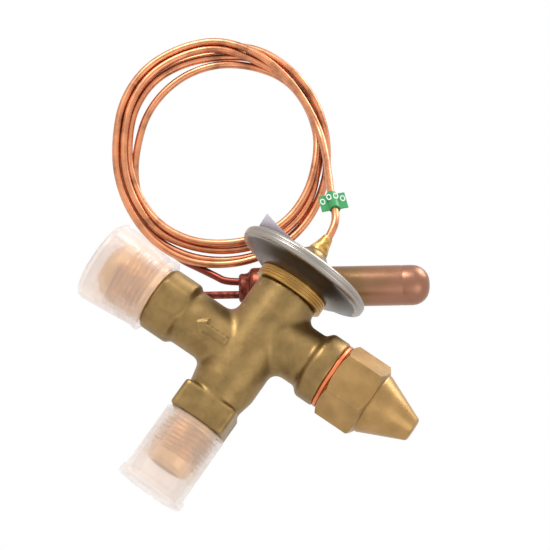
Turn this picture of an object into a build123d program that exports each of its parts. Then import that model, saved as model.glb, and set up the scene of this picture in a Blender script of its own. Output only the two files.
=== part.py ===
from build123d import *
import os
from math import cos, pi, radians, sin, sqrt, tan

# A thermostatic expansion valve, in millimetres.
# The origin is the centre of the inlet flare's nose end. +Z runs up the inlet and element
# axis, +X runs from the outlet to the seal cap, and +Y runs to the sensing bulb behind.

# Clearances
RUN_GAP = 0.05
THREAD_GAP = 0.15
SEAT_GAP = 0.3

# Heights of the three arms of the forging
OUTLET_Z = 41.0
SPINDLE_OFFSET = 9.6
BODY_TOP = 63.5
INLET_ARM_R = 8.8
CORE_R = 9.9
OUTLET_ARM_R = 8.8
SPINDLE_ARM_R = 8.8
CORE_LOW = 30.5
ARM_TAPER = 5.0
ARM_BLEND_R = 3.0

# Inlet flare end, 5/8 inch thread, with its square wrench block
INLET_THREAD_R = 7.94
INLET_THREAD_Z = 3.2
INLET_THREAD_LENGTH = 11.8
INLET_NOSE_R = 5.75
INLET_BORE_R = 5.05
BLOCK_WIDTH = 18.0
BLOCK_Z = 16.3
BLOCK_HEIGHT = 8.6
BLOCK_CORNER_R = 1.6

# Outlet flare end, 3/4 inch thread, with its two wrench flats; lengths along the arm
OUTLET_THREAD_R = 9.525
OUTLET_LENGTH = 49.5
OUTLET_THREAD_START = 33.0
OUTLET_THREAD_LENGTH = 12.4
OUTLET_NOSE_R = 6.0
OUTLET_BORE_R = 5.2
OUTLET_PORT_R = 3.4
OUTLET_PORT_LENGTH = 14.0
FLATS_START = 21.0
FLATS_END = 31.4
FLATS_ROUND_R = 10.1
FLATS_WIDTH = 18.6
THREAD_CHAMFER = 0.9
THREAD_RELIEF = 0.6

# Cast flow arrow on the front of the outlet arm
ARROW_LENGTH = 9.0
ARROW_WIDTH = 5.0
ARROW_SHAFT = 1.6
ARROW_RISE = 0.35
ARROW_CENTRE_X = -13.5

# Inner chamber of the body
ORIFICE_SHOULDER_Z = 36.0
SHOULDER_HEIGHT = 1.5
SHOULDER_HOLE_R = 3.8
CHAMBER_R = 6.6
GEAR_SHELF_RISE = 3.45
SPRING_CHAMBER_R = 7.6
KEYWAY_R = 8.5
KEY_WIDTH = 1.6

# Spindle boss, its threaded nipple and bores; lengths along +X
BOSS_START = 18.4
BOSS_END = 24.5
BOSS_R = 10.8
NIPPLE_R = 7.6
NIPPLE_LENGTH = 8.5
PINION_BORE_R = 3.55
GLAND_BORE_R = 5.0
GLAND_BORE_START = 16.0

# Pinion on the spindle, in mesh with the crown teeth under the setting gear
PINION_TEETH = 8
CROWN_TEETH = 16
CROWN_PITCH_R = 5.5
TOOTH_THICKNESS = 0.6
TOOTH_ADDENDUM = 0.45
TOOTH_DEDENDUM = 0.65
PINION_WIDTH = 1.2
PINION_HUB_LENGTH = 3.0
JOURNAL_START = 8.0
STEM_R = 2.0
STEM_END = 34.0
SQUARE_WIDTH = 3.0
SQUARE_LENGTH = 4.0

# Setting gear, spring seat and superheat spring
GEAR_R = 7.2
GEAR_THICKNESS = 1.8
GEAR_HUB_R = 4.5
GEAR_HUB_HEIGHT = 5.4
GEAR_HOLE_R = 2.2
SEAT_TRAVEL = 1.15
SEAT_THICKNESS = 3.0
SPRING_WIRE_R = 0.6
SPRING_MEAN_R = 5.6
SPRING_TURNS = 4.5

# Orifice assembly
HOUSING_LENGTH = 12.0
HOUSING_TOP_WALL = 2.0
HOUSING_BORE_R = 3.4
ORIFICE_R = 1.8
CONE_TIP_R = 1.2
CONE_R = 3.0
CONE_SKIRT = 2.25
RETAINER_HEIGHT = 1.5
RETAINER_HOLE_R = 1.2
CONE_SPRING_WIRE_R = 0.25
CONE_SPRING_TURNS = 5
STRAINER_WALL = 0.35
STRAINER_TOP_R = 4.0
STRAINER_END_R = 2.9
STRAINER_END_Z = 6.0
STRAINER_FLANGE_HEIGHT = 1.1
STRAINER_SLOT_WIDTH = 0.8
STRAINER_SLOT_LENGTH = 3.6
STRAINER_COLUMNS = 8
STRAINER_ROWS = 3

# Power element: ring, cups, diaphragm, thrust pad and push rod
RING_R = 11.3
RING_HEIGHT = 3.7
RING_SPIGOT_R = 9.0
RING_SPIGOT_HEIGHT = 0.9
RING_GROOVES = 3
RING_GROOVE_DEPTH = 0.5
CUP_SHEET = 0.8
CUP_FLOOR_R = 11.8
RIM_R = 21.5
RIM_RISE = 5.0
RIM_THICKNESS = 3.5
RIM_WIDTH = 2.6
DIAPHRAGM_SHEET = 0.2
DIAPHRAGM_R = RIM_R - 1.1
DIAPHRAGM_SAG = 0.9
PAD_R = 10.5
PAD_THICKNESS = 1.5
PAD_HUB_R = 3.6
PAD_HUB_HEIGHT = 2.1
ROD_R = 1.0
ROD_SOCKET_DEPTH = 1.5
NECK_TOP_R = 3.0
UPPER_CUP_RISE = 6.0
CUP_KNEE_R = 12.0
CUP_KNEE_RISE = 1.6
CUP_SHOULDER_R = 6.6
CUP_SHOULDER_RISE = 3.2
FERRULE_SPIGOT_R = 2.0
FERRULE_SPIGOT = 1.4
FERRULE_R = 3.0
FERRULE_TIP_R = 1.55
FERRULE_HEIGHT = 5.4

# Spindle gland and seal cap
GLAND_LENGTH = 11.5
GLAND_SLOT = 1.2
GASKET_THICKNESS = 1.4
CAP_FLATS = 21.0
GASKET_R = CAP_FLATS / 2
CAP_HEX_LENGTH = 13.3
CAP_HEX_CHAMFER = 1.5
CAP_NOSE_R = 9.75
CAP_TIP_R = 4.0
CAP_NOSE_LENGTH = 14.5
CAP_TIP_ROUND = 1.2
CAP_BORE_DEPTH = 8.2
CAP_POCKET_R = 4.6
CAP_POCKET_DEPTH = 18.0

# Push-on shipping caps
INLET_CAP_R = 10.0
INLET_CAP_FLANGE_R = 10.85
INLET_CAP_FLANGE = 2.6
INLET_CAP_END = -8.2
OUTLET_CAP_RIM_R = 11.4
OUTLET_CAP_LIP = 0.45
OUTLET_CAP_END_R = 13.0
OUTLET_CAP_END = OUTLET_LENGTH + 3.2
CAP_WALL = 1.5
GRIP_WIDTH = 1.6

# Sensing bulb behind the element, and the capillary coil
BULB_START = Vector(-17.8, 28.7, 62.7)
BULB_END = Vector(30.8, 28.7, 97.6)
BULB_R = 6.35
BULB_DOME_R = 5.4
BULB_SHOULDER_R = 2.0
PLUG_R = 4.6
PLUG_LENGTH = 3.2
TUBE_OFFSET = 2.1
CAPILLARY_R = 1.2
CHARGE_TUBE_R = 1.2
CHARGE_TUBE_LENGTH = 17.0
PINCH_LENGTH = 4.0
COIL_CENTRE = Vector(-47.8, 31.0, 96.3)
COIL_MEAN_R = 32.8
COIL_HALF_WIDTH = 5.7
COIL_HALF_DEPTH = 4.0

# Routes of the capillary's two free stretches, chosen by hand
TAIL_ROUTE = [
    (-0.3, 0.1, 89.2),
    (-3.0, 2.2, 93.8),
    (-8.6, 7.9, 99.4),
    (-14.6, 15.2, 106.2),
    (-21.0, 22.5, 113.0),
    (-27.2, 28.0, 118.7),
]
LEAD_ROUTE = [
    (-24.6, 28.7, 60.2),
    (-31.5, 29.2, 59.4),
    (-39.0, 29.8, 60.1),
    (-46.5, 30.6, 62.0),
    (-54.5, 31.0, 65.4),
]

# Marker on the capillary and paper label on the upper cup
MARKER_WIDTH = 8.2
MARKER_HEIGHT = 7.6
MARKER_SHEET = 0.5
MARKER_SLEEVE_R = 1.7
LABEL_SHEET = 0.25
LABEL_INNER_X = 8.0
LABEL_WIDTH = 9.0
LABEL_FLAP_OUTER = 6.0
LABEL_FLAP_INNER = 2.0

# Places worked out from the sizes above
SPINDLE_Z = OUTLET_Z + SPINDLE_OFFSET
SHELF_Z = SPINDLE_Z + GEAR_SHELF_RISE
CHAMBER_FLOOR = ORIFICE_SHOULDER_Z + SHOULDER_HEIGHT
BLOCK_TOP = BLOCK_Z + BLOCK_HEIGHT
RING_TOP = BODY_TOP + RING_HEIGHT
RIM_Z = RING_TOP + RIM_RISE
RIM_LOW = RIM_Z - RIM_THICKNESS / 2
RIM_HIGH = RIM_Z + RIM_THICKNESS / 2
FERRULE_Z = RIM_HIGH + UPPER_CUP_RISE
EXIT_Z = FERRULE_Z + FERRULE_HEIGHT
PINION_PITCH_R = CROWN_PITCH_R * PINION_TEETH / CROWN_TEETH
PITCH_Z = SPINDLE_Z + PINION_PITCH_R
GEAR_Z = SHELF_Z + RUN_GAP
GEAR_TOP = GEAR_Z + GEAR_THICKNESS
SEAT_Z = GEAR_TOP + SEAT_TRAVEL + RUN_GAP
SPRING_Z = SEAT_Z + SEAT_THICKNESS
DIAPHRAGM_LOW = RIM_Z - DIAPHRAGM_SHEET / 2 - DIAPHRAGM_SAG
PAD_TOP = DIAPHRAGM_LOW - RUN_GAP
PAD_LOW = PAD_TOP - PAD_THICKNESS
PAD_HUB_LOW = PAD_LOW - PAD_HUB_HEIGHT
HOUSING_Z = ORIFICE_SHOULDER_Z - HOUSING_LENGTH
SEAT_EDGE_Z = ORIFICE_SHOULDER_Z - HOUSING_TOP_WALL
CONE_TIP_Z = SEAT_EDGE_Z + (ORIFICE_R - CONE_TIP_R) - RUN_GAP
CONE_SHOULDER_Z = CONE_TIP_Z - (CONE_R - CONE_TIP_R)
CONE_LOW = CONE_SHOULDER_Z - CONE_SKIRT
RETAINER_TOP = HOUSING_Z + RETAINER_HEIGHT
GASKET_X = BOSS_END
CAP_X = GASKET_X + GASKET_THICKNESS
CAP_SHOULDER_X = CAP_X + CAP_HEX_LENGTH
CAP_END_X = CAP_SHOULDER_X + CAP_NOSE_LENGTH
NIPPLE_END = BOSS_END + NIPPLE_LENGTH
OUTLET_CAP_RIM = FLATS_END + SEAT_GAP
INLET_CAP_RIM = BLOCK_Z - SEAT_GAP
BULB_AXIS = (BULB_END - BULB_START).normalized()
BULB_UP = Vector(-BULB_AXIS.Z, 0, BULB_AXIS.X)


FROM_BASE = (Align.CENTER, Align.CENTER, Align.MIN)


def turned(*corners):
    """A solid of revolution about Z from its (radius, height) corners."""
    outline = Polyline(*[(r, 0, z) for r, z in corners], close=True)
    return revolve(make_face(outline), Axis.Z)


def along_x(solid, height=SPINDLE_Z):
    """A solid made along +Z, laid along +X at a height."""
    return Pos(0, 0, height) * Rot(0, 90, 0) * solid


def along_minus_x(solid, height=OUTLET_Z):
    """A solid made along +Z, laid along -X at a height."""
    return Pos(0, 0, height) * Rot(0, -90, 0) * solid


def spring(mean_r, wire_r, low, high, turns):
    """A round-wire compression spring between two heights on the Z axis."""
    rise = high - low - 2 * wire_r
    path = Helix(pitch=rise / turns, height=rise, radius=mean_r)
    section = Plane(origin=path @ 0, z_dir=path % 0) * Circle(wire_r)
    return Pos(0, 0, low + wire_r) * sweep(section, path=path, is_frenet=True)


def is_join(edge):
    """Whether an edge is where two of the arms meet."""
    return edge.geom_type not in (GeomType.CIRCLE, GeomType.LINE)


def valve_body():
    """The forged and machined body, with all its passages."""
    neck = turned(
        (0, BLOCK_Z),
        (INLET_ARM_R - 0.2, BLOCK_Z),
        (INLET_ARM_R, CORE_LOW - ARM_TAPER),
        (CORE_R, CORE_LOW),
        (CORE_R, BODY_TOP),
        (0, BODY_TOP),
    )
    outlet_arm = along_minus_x(Cylinder(OUTLET_ARM_R, FLATS_START + 1, align=FROM_BASE))
    spindle_arm = along_x(Cylinder(SPINDLE_ARM_R, BOSS_START + 1, align=FROM_BASE))
    forging = neck + outlet_arm + spindle_arm
    for side in (-1, 1):
        joins = [e for e in forging.edges() if is_join(e) and side * e.center().X > 0]
        forging = fillet(joins, ARM_BLEND_R)
    forging = forging + wrench_block() + inlet_thread() + outlet_end() + spindle_boss() + flow_arrow()
    return forging - inlet_passages() - outlet_passages() - spindle_passages()


def wrench_block():
    """The square wrench block round the inlet arm."""
    block = Pos(0, 0, BLOCK_Z + BLOCK_HEIGHT / 2) * Box(BLOCK_WIDTH, BLOCK_WIDTH, BLOCK_HEIGHT)
    block = fillet(block.edges().filter_by(Axis.Z), BLOCK_CORNER_R)
    return chamfer(block.edges().group_by(Axis.Z)[-1], 0.6)


def flare_end(thread_r, nose_r, thread_start, thread_length, root_start, nose_end):
    """A flare fitting's end along +Z, from its root to the nose: relief, thread and 45 degree cone."""
    land_r = thread_r - THREAD_CHAMFER
    thread_end = thread_start + thread_length
    cone_start = nose_end - (land_r - nose_r)
    return turned(
        (0, root_start),
        (thread_r - THREAD_RELIEF, root_start),
        (thread_r - THREAD_RELIEF, thread_start - THREAD_RELIEF),
        (thread_r, thread_start),
        (thread_r, thread_end),
        (land_r, thread_end + THREAD_CHAMFER),
        (land_r, cone_start),
        (nose_r, nose_end),
        (0, nose_end),
    )


def inlet_thread():
    """The inlet flare end, pointing down to the origin."""
    top_of_thread = INLET_THREAD_Z + INLET_THREAD_LENGTH
    end = flare_end(
        INLET_THREAD_R, INLET_NOSE_R, -top_of_thread, INLET_THREAD_LENGTH, -BLOCK_Z - 1, 0
    )
    return Rot(180, 0, 0) * end


def outlet_end():
    """The outlet's wrench flats, collar and flare end."""
    length = FLATS_END - FLATS_START
    round_bar = turned(
        (0, FLATS_START),
        (OUTLET_ARM_R, FLATS_START),
        (FLATS_ROUND_R, FLATS_START + FLATS_ROUND_R - OUTLET_ARM_R),
        (FLATS_ROUND_R, FLATS_END - 0.5),
        (FLATS_ROUND_R - 0.5, FLATS_END),
        (0, FLATS_END),
    )
    middle = FLATS_START + length / 2
    flats = round_bar & Pos(0, 0, middle) * Box(3 * FLATS_ROUND_R, FLATS_WIDTH, length)
    thread = flare_end(
        OUTLET_THREAD_R,
        OUTLET_NOSE_R,
        OUTLET_THREAD_START,
        OUTLET_THREAD_LENGTH,
        FLATS_END - 1,
        OUTLET_LENGTH,
    )
    return along_minus_x(flats + thread)


def spindle_boss():
    """The round boss and threaded nipple for the seal cap."""
    boss = turned(
        (0, BOSS_START - 1.4),
        (SPINDLE_ARM_R, BOSS_START - 1.4),
        (BOSS_R - 0.4, BOSS_START),
        (BOSS_R, BOSS_START + 0.6),
        (BOSS_R, BOSS_END),
        (NIPPLE_R, BOSS_END),
        (NIPPLE_R, NIPPLE_END - 0.8),
        (NIPPLE_R - 0.8, NIPPLE_END),
        (0, NIPPLE_END),
    )
    return along_x(boss)


def flow_arrow():
    """A low cast arrow on the front of the outlet arm, pointing to the outlet."""
    half = ARROW_LENGTH / 2
    head = ARROW_WIDTH / 2
    outline = Polyline(
        (-half, 0),
        (-half + head, head),
        (-half + head, ARROW_SHAFT / 2),
        (half, ARROW_SHAFT / 2),
        (half, -ARROW_SHAFT / 2),
        (-half + head, -ARROW_SHAFT / 2),
        (-half + head, -head),
        close=True,
    )
    block = extrude(make_face(outline), OUTLET_ARM_R + ARROW_RISE)
    standing = Pos(ARROW_CENTRE_X, 0, OUTLET_Z) * Rot(90, 0, 0) * block
    skin = along_minus_x(Cylinder(OUTLET_ARM_R + ARROW_RISE, 2 * FLATS_START))
    outer_half = Pos(0, -OUTLET_ARM_R, OUTLET_Z) * Box(4 * FLATS_START, OUTLET_ARM_R, 2 * OUTLET_ARM_R)
    return standing & skin & outer_half


def inlet_passages():
    """The bore for the orifice assembly, the chamber above it and the spring chamber."""
    bores = turned(
        (0, -1),
        (INLET_BORE_R, -1),
        (INLET_BORE_R, ORIFICE_SHOULDER_Z),
        (SHOULDER_HOLE_R, ORIFICE_SHOULDER_Z),
        (SHOULDER_HOLE_R, CHAMBER_FLOOR),
        (CHAMBER_R, CHAMBER_FLOOR),
        (CHAMBER_R, SHELF_Z),
        (SPRING_CHAMBER_R, SHELF_Z),
        (SPRING_CHAMBER_R, BODY_TOP + 1),
        (0, BODY_TOP + 1),
    )
    keyway_height = BODY_TOP + 1 - GEAR_TOP
    keyways = Pos(0, 0, GEAR_TOP + keyway_height / 2) * Box(
        KEY_WIDTH + 2 * THREAD_GAP, 2 * KEYWAY_R, keyway_height
    )
    return bores + keyways


def outlet_passages():
    """The outlet bore and the port into the chamber."""
    bore = turned(
        (0, CHAMBER_R - 1.6),
        (OUTLET_PORT_R, CHAMBER_R - 1.6),
        (OUTLET_PORT_R, OUTLET_PORT_LENGTH),
        (OUTLET_BORE_R, OUTLET_PORT_LENGTH + OUTLET_BORE_R - OUTLET_PORT_R),
        (OUTLET_BORE_R, OUTLET_LENGTH + 1),
        (0, OUTLET_LENGTH + 1),
    )
    return along_minus_x(bore)


def spindle_passages():
    """The pinion's bore and the gland's bore."""
    bore = turned(
        (0, 0),
        (PINION_BORE_R, 0),
        (PINION_BORE_R, GLAND_BORE_START),
        (GLAND_BORE_R, GLAND_BORE_START),
        (GLAND_BORE_R, NIPPLE_END + 1),
        (0, NIPPLE_END + 1),
    )
    return along_x(bore)


def setting_spindle():
    """The spindle with its pinion, journal, stem and square end."""
    root_r = PINION_PITCH_R - TOOTH_DEDENDUM
    tip_r = PINION_PITCH_R + TOOTH_ADDENDUM
    hub_start = CROWN_PITCH_R - PINION_WIDTH / 2
    shaft = turned(
        (0, hub_start),
        (root_r, hub_start),
        (root_r, JOURNAL_START),
        (PINION_BORE_R - RUN_GAP, JOURNAL_START),
        (PINION_BORE_R - RUN_GAP, GLAND_BORE_START - RUN_GAP),
        (STEM_R, GLAND_BORE_START - RUN_GAP),
        (STEM_R, STEM_END),
        (0, STEM_END),
    )
    square = Pos(0, 0, STEM_END + SQUARE_LENGTH / 2) * Box(SQUARE_WIDTH, SQUARE_WIDTH, SQUARE_LENGTH)
    tooth = Pos(tip_r / 2, 0, CROWN_PITCH_R) * Box(tip_r, TOOTH_THICKNESS, PINION_WIDTH)
    teeth = [Rot(0, 0, 360 * i / PINION_TEETH) * tooth for i in range(PINION_TEETH)]
    return along_x(shaft + square + teeth)


def setting_gear():
    """The gear that the pinion turns: crown teeth below, a threaded hub above."""
    blank = turned(
        (GEAR_HOLE_R, GEAR_Z),
        (GEAR_R, GEAR_Z),
        (GEAR_R, GEAR_TOP),
        (GEAR_HUB_R, GEAR_TOP),
        (GEAR_HUB_R, GEAR_TOP + GEAR_HUB_HEIGHT),
        (GEAR_HOLE_R, GEAR_TOP + GEAR_HUB_HEIGHT),
    )
    tooth_low = PITCH_Z - TOOTH_ADDENDUM
    tooth_height = GEAR_Z - tooth_low
    tooth = Pos(CROWN_PITCH_R, 0, tooth_low + tooth_height / 2) * Box(
        PINION_WIDTH, TOOTH_THICKNESS, tooth_height
    )
    step = 360 / CROWN_TEETH
    teeth = [Rot(0, 0, step * (i + 0.5)) * tooth for i in range(CROWN_TEETH)]
    return blank + teeth


def spring_seat():
    """The nut on the gear's hub that carries the superheat spring, keyed in the body."""
    ring = turned(
        (GEAR_HUB_R + THREAD_GAP, SEAT_Z),
        (GEAR_R, SEAT_Z),
        (GEAR_R, SPRING_Z),
        (GEAR_HUB_R + THREAD_GAP, SPRING_Z),
    )
    key_reach = KEYWAY_R - THREAD_GAP
    key_depth = key_reach - GEAR_R + 1
    key = Pos(0, key_reach - key_depth / 2, SEAT_Z + SEAT_THICKNESS / 2) * Box(
        KEY_WIDTH, key_depth, SEAT_THICKNESS
    )
    return ring + key + Rot(0, 0, 180) * key


def superheat_spring():
    """The spring between the seat and the thrust pad."""
    return spring(SPRING_MEAN_R, SPRING_WIRE_R, SPRING_Z, PAD_LOW, SPRING_TURNS)


def orifice_housing():
    """The turned brass housing with the orifice in its top wall."""
    outer = INLET_BORE_R - RUN_GAP
    return turned(
        (HOUSING_BORE_R, HOUSING_Z),
        (outer, HOUSING_Z),
        (outer, ORIFICE_SHOULDER_Z),
        (ORIFICE_R, ORIFICE_SHOULDER_Z),
        (ORIFICE_R, SEAT_EDGE_Z),
        (HOUSING_BORE_R, SEAT_EDGE_Z),
    )


def orifice_cone():
    """The valve cone, which the rod pushes down off its seat."""
    return turned(
        (0, CONE_LOW),
        (CONE_R, CONE_LOW),
        (CONE_R, CONE_SHOULDER_Z),
        (CONE_TIP_R, CONE_TIP_Z),
        (0, CONE_TIP_Z),
    )


def cone_spring():
    """The light spring that closes the cone."""
    mean_r = CONE_R - 2 * CONE_SPRING_WIRE_R
    return spring(mean_r, CONE_SPRING_WIRE_R, RETAINER_TOP, CONE_LOW, CONE_SPRING_TURNS)


def cone_spring_retainer():
    """The ring pressed in under the cone's spring."""
    outer = HOUSING_BORE_R - RUN_GAP
    return turned(
        (RETAINER_HOLE_R, HOUSING_Z),
        (outer, HOUSING_Z),
        (outer, RETAINER_TOP),
        (RETAINER_HOLE_R, RETAINER_TOP),
    )


def inlet_strainer():
    """The slotted strainer cup that hangs in the inlet bore."""
    flange_low = HOUSING_Z - STRAINER_FLANGE_HEIGHT
    cup = turned(
        (0, STRAINER_END_Z),
        (STRAINER_END_R, STRAINER_END_Z),
        (STRAINER_TOP_R, flange_low),
        (INLET_BORE_R - RUN_GAP, flange_low),
        (INLET_BORE_R - RUN_GAP, HOUSING_Z),
        (STRAINER_TOP_R - STRAINER_WALL, HOUSING_Z),
        (STRAINER_TOP_R - STRAINER_WALL, flange_low),
        (STRAINER_END_R - STRAINER_WALL, STRAINER_END_Z + STRAINER_WALL),
        (0, STRAINER_END_Z + STRAINER_WALL),
    )
    slot_pitch = (flange_low - STRAINER_END_Z) / STRAINER_ROWS
    slot = Pos(STRAINER_TOP_R, 0, 0) * Box(2 * STRAINER_TOP_R, STRAINER_SLOT_WIDTH, STRAINER_SLOT_LENGTH)
    slots = []
    for row in range(STRAINER_ROWS):
        height = STRAINER_END_Z + slot_pitch * (row + 0.5)
        for column in range(STRAINER_COLUMNS):
            slots.append(Pos(0, 0, height) * Rot(0, 0, 360 * column / STRAINER_COLUMNS) * slot)
    return cup - slots


def element_ring():
    """The ridged brass ring between the neck and the lower cup."""
    groove_pitch = RING_HEIGHT / (RING_GROOVES + 0.5)
    corners = [(SPRING_CHAMBER_R, BODY_TOP), (RING_R - 0.3, BODY_TOP)]
    for i in range(RING_GROOVES):
        low = BODY_TOP + groove_pitch * (i + 0.35)
        corners.append((RING_R, low))
        corners.append((RING_R, low + groove_pitch * 0.4))
        corners.append((RING_R - RING_GROOVE_DEPTH, low + groove_pitch * 0.5))
        corners.append((RING_R - RING_GROOVE_DEPTH, low + groove_pitch * 0.8))
    corners += [
        (RING_R, RING_TOP - groove_pitch * 0.3),
        (RING_R, RING_TOP),
        (RING_SPIGOT_R, RING_TOP),
        (RING_SPIGOT_R, RING_TOP + RING_SPIGOT_HEIGHT),
        (SPRING_CHAMBER_R, RING_TOP + RING_SPIGOT_HEIGHT),
    ]
    return turned(*corners)


def cup(sheet_outline, seam_z, far_z):
    """A pressed cup with half of the rounded rim bead on its edge."""
    bead_x = RIM_R - RIM_WIDTH
    bead_half = abs(far_z - seam_z)
    middle_z = (seam_z + far_z) / 2
    bulge = RIM_R - bead_half * 0.14
    rim = [
        Line((bead_x, 0, seam_z), (RIM_R - 0.25, 0, seam_z)),
        ThreePointArc((RIM_R - 0.25, 0, seam_z), (bulge, 0, middle_z), (RIM_R - bead_half, 0, far_z)),
        Line((RIM_R - bead_half, 0, far_z), (bead_x, 0, far_z)),
        Line((bead_x, 0, far_z), (bead_x, 0, seam_z)),
    ]
    bead = revolve(make_face(rim), Axis.Z)
    return turned(*sheet_outline) + bead


def element_lower_cup():
    """The lower cup of the power element, brazed on the ring."""
    hole_r = RING_SPIGOT_R + RUN_GAP
    inner_edge = RIM_R - RIM_WIDTH + 0.4
    seam = RIM_Z - DIAPHRAGM_SHEET / 2
    outline = [
        (hole_r, RING_TOP),
        (CUP_FLOOR_R, RING_TOP),
        (inner_edge, RIM_LOW),
        (inner_edge, RIM_LOW + CUP_SHEET),
        (CUP_FLOOR_R - 0.3, RING_TOP + CUP_SHEET),
        (hole_r, RING_TOP + CUP_SHEET),
    ]
    return cup(outline, seam, RIM_LOW)


def element_upper_cup():
    """The upper cup, domed up to the capillary's neck."""
    inner_edge = RIM_R - RIM_WIDTH + 0.4
    seam = RIM_Z + DIAPHRAGM_SHEET / 2
    neck_z = FERRULE_Z
    hole_r = FERRULE_SPIGOT_R + RUN_GAP
    outline = [
        (inner_edge, RIM_HIGH),
        (CUP_KNEE_R, RIM_HIGH + CUP_KNEE_RISE),
        (CUP_SHOULDER_R, RIM_HIGH + CUP_SHOULDER_RISE),
        (NECK_TOP_R + 0.9, (RIM_HIGH + CUP_SHOULDER_RISE + neck_z) / 2),
        (NECK_TOP_R, neck_z),
        (hole_r, neck_z),
        (hole_r, neck_z - 1.5),
        (CUP_SHOULDER_R - 1.0, RIM_HIGH + CUP_SHOULDER_RISE - 0.6),
        (CUP_KNEE_R - 0.4, RIM_HIGH + CUP_KNEE_RISE - CUP_SHEET),
        (inner_edge, RIM_HIGH - CUP_SHEET),
    ]
    return cup(outline, seam, RIM_HIGH)


def diaphragm():
    """The corrugated stainless diaphragm, clamped in the rim."""
    waves = [
        (0, 1.0),
        (0.55, 1.0),
        (0.62, 0.55),
        (0.7, 0.9),
        (0.78, 0.3),
        (0.86, 0.0),
        (1.0, 0.0),
    ]
    half = DIAPHRAGM_SHEET / 2
    low = [(DIAPHRAGM_R * share, RIM_Z - DIAPHRAGM_SAG * depth - half) for share, depth in waves]
    high = [(r, z + DIAPHRAGM_SHEET) for r, z in reversed(low)]
    return turned(*low, *high)


def thrust_pad():
    """The pad under the diaphragm, with a socket for the push rod."""
    socket_r = ROD_R + RUN_GAP
    return turned(
        (socket_r, PAD_HUB_LOW),
        (PAD_HUB_R, PAD_HUB_LOW),
        (PAD_HUB_R, PAD_LOW),
        (PAD_R, PAD_LOW),
        (PAD_R, PAD_TOP),
        (0, PAD_TOP),
        (0, PAD_HUB_LOW + ROD_SOCKET_DEPTH + RUN_GAP),
        (socket_r, PAD_HUB_LOW + ROD_SOCKET_DEPTH + RUN_GAP),
    )


def push_rod():
    """The rod from the thrust pad to the orifice cone."""
    return turned(
        (0, CONE_TIP_Z),
        (ROD_R, CONE_TIP_Z),
        (ROD_R, PAD_HUB_LOW + ROD_SOCKET_DEPTH),
        (0, PAD_HUB_LOW + ROD_SOCKET_DEPTH),
    )


def spindle_seal():
    """The O-ring round the spindle's stem."""
    inner = STEM_R + RUN_GAP
    outer = GLAND_BORE_R - 2 * RUN_GAP
    section_r = (outer - inner) / 2
    centre = (GLAND_BORE_START + 2 * RUN_GAP + section_r)
    return along_x(Pos(0, 0, centre) * Torus((outer + inner) / 2, section_r))


def gland_bush():
    """The slotted gland bush that holds the seal in."""
    end = NIPPLE_END - 1.0
    start = end - GLAND_LENGTH
    bush = turned(
        (STEM_R + 2 * RUN_GAP, start),
        (GLAND_BORE_R - RUN_GAP, start),
        (GLAND_BORE_R - RUN_GAP, end),
        (STEM_R + 2 * RUN_GAP, end),
    )
    slot = Pos(0, 0, end) * Box(3 * GLAND_BORE_R, GLAND_SLOT, 2 * GLAND_SLOT)
    return along_x(bush - slot)


def cap_gasket():
    """The copper ring gasket under the seal cap."""
    inner = NIPPLE_R + SEAT_GAP
    ring = turned(
        (inner, GASKET_X),
        (GASKET_R - 0.3, GASKET_X),
        (GASKET_R, GASKET_X + 0.3),
        (GASKET_R, CAP_X - 0.3),
        (GASKET_R - 0.3, CAP_X),
        (inner, CAP_X),
    )
    return along_x(ring)


def seal_cap():
    """The hexagon seal cap with its blunt conical nose."""
    corner_r = CAP_FLATS / sqrt(3)
    flat_r = CAP_FLATS / 2
    hexagon = extrude(RegularPolygon(corner_r, 6, rotation=0), CAP_HEX_LENGTH)
    envelope = turned(
        (0, 0),
        (flat_r, 0),
        (corner_r, 0.9),
        (corner_r, CAP_HEX_LENGTH - CAP_HEX_CHAMFER),
        (flat_r - 0.4, CAP_HEX_LENGTH),
        (0, CAP_HEX_LENGTH),
    )
    nose = turned(
        (0, CAP_HEX_LENGTH - 1),
        (CAP_NOSE_R, CAP_HEX_LENGTH - 1),
        (CAP_NOSE_R, CAP_HEX_LENGTH + 0.6),
        (CAP_TIP_R, CAP_HEX_LENGTH + CAP_NOSE_LENGTH),
        (0, CAP_HEX_LENGTH + CAP_NOSE_LENGTH),
    )
    nose = fillet(nose.edges().sort_by(Axis.Z)[-1], CAP_TIP_ROUND)
    thread_r = NIPPLE_R + THREAD_GAP
    hollow = turned(
        (0, -1),
        (thread_r, -1),
        (thread_r, CAP_BORE_DEPTH),
        (CAP_POCKET_R, CAP_BORE_DEPTH + 1.5),
        (CAP_POCKET_R, CAP_POCKET_DEPTH - 2),
        (0, CAP_POCKET_DEPTH),
    )
    return along_x(Pos(0, 0, CAP_X) * ((hexagon & envelope) + nose - hollow))


def inlet_cap():
    """The push-on plastic cap on the inlet flare."""
    grip_r = INLET_THREAD_R + 2 * RUN_GAP
    inner_r = INLET_CAP_R - CAP_WALL
    grip_z = INLET_CAP_RIM - 2
    return turned(
        (0, INLET_CAP_END),
        (INLET_CAP_FLANGE_R - 0.5, INLET_CAP_END),
        (INLET_CAP_FLANGE_R, INLET_CAP_END + 0.5),
        (INLET_CAP_FLANGE_R, INLET_CAP_END + INLET_CAP_FLANGE),
        (INLET_CAP_R, INLET_CAP_END + INLET_CAP_FLANGE + 0.6),
        (INLET_CAP_R, INLET_CAP_RIM),
        (inner_r, INLET_CAP_RIM),
        (inner_r, grip_z),
        (grip_r, grip_z - 0.3),
        (grip_r, grip_z - GRIP_WIDTH),
        (inner_r, grip_z - GRIP_WIDTH - 0.3),
        (inner_r, INLET_CAP_END + CAP_WALL),
        (0, INLET_CAP_END + CAP_WALL),
    )


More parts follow.
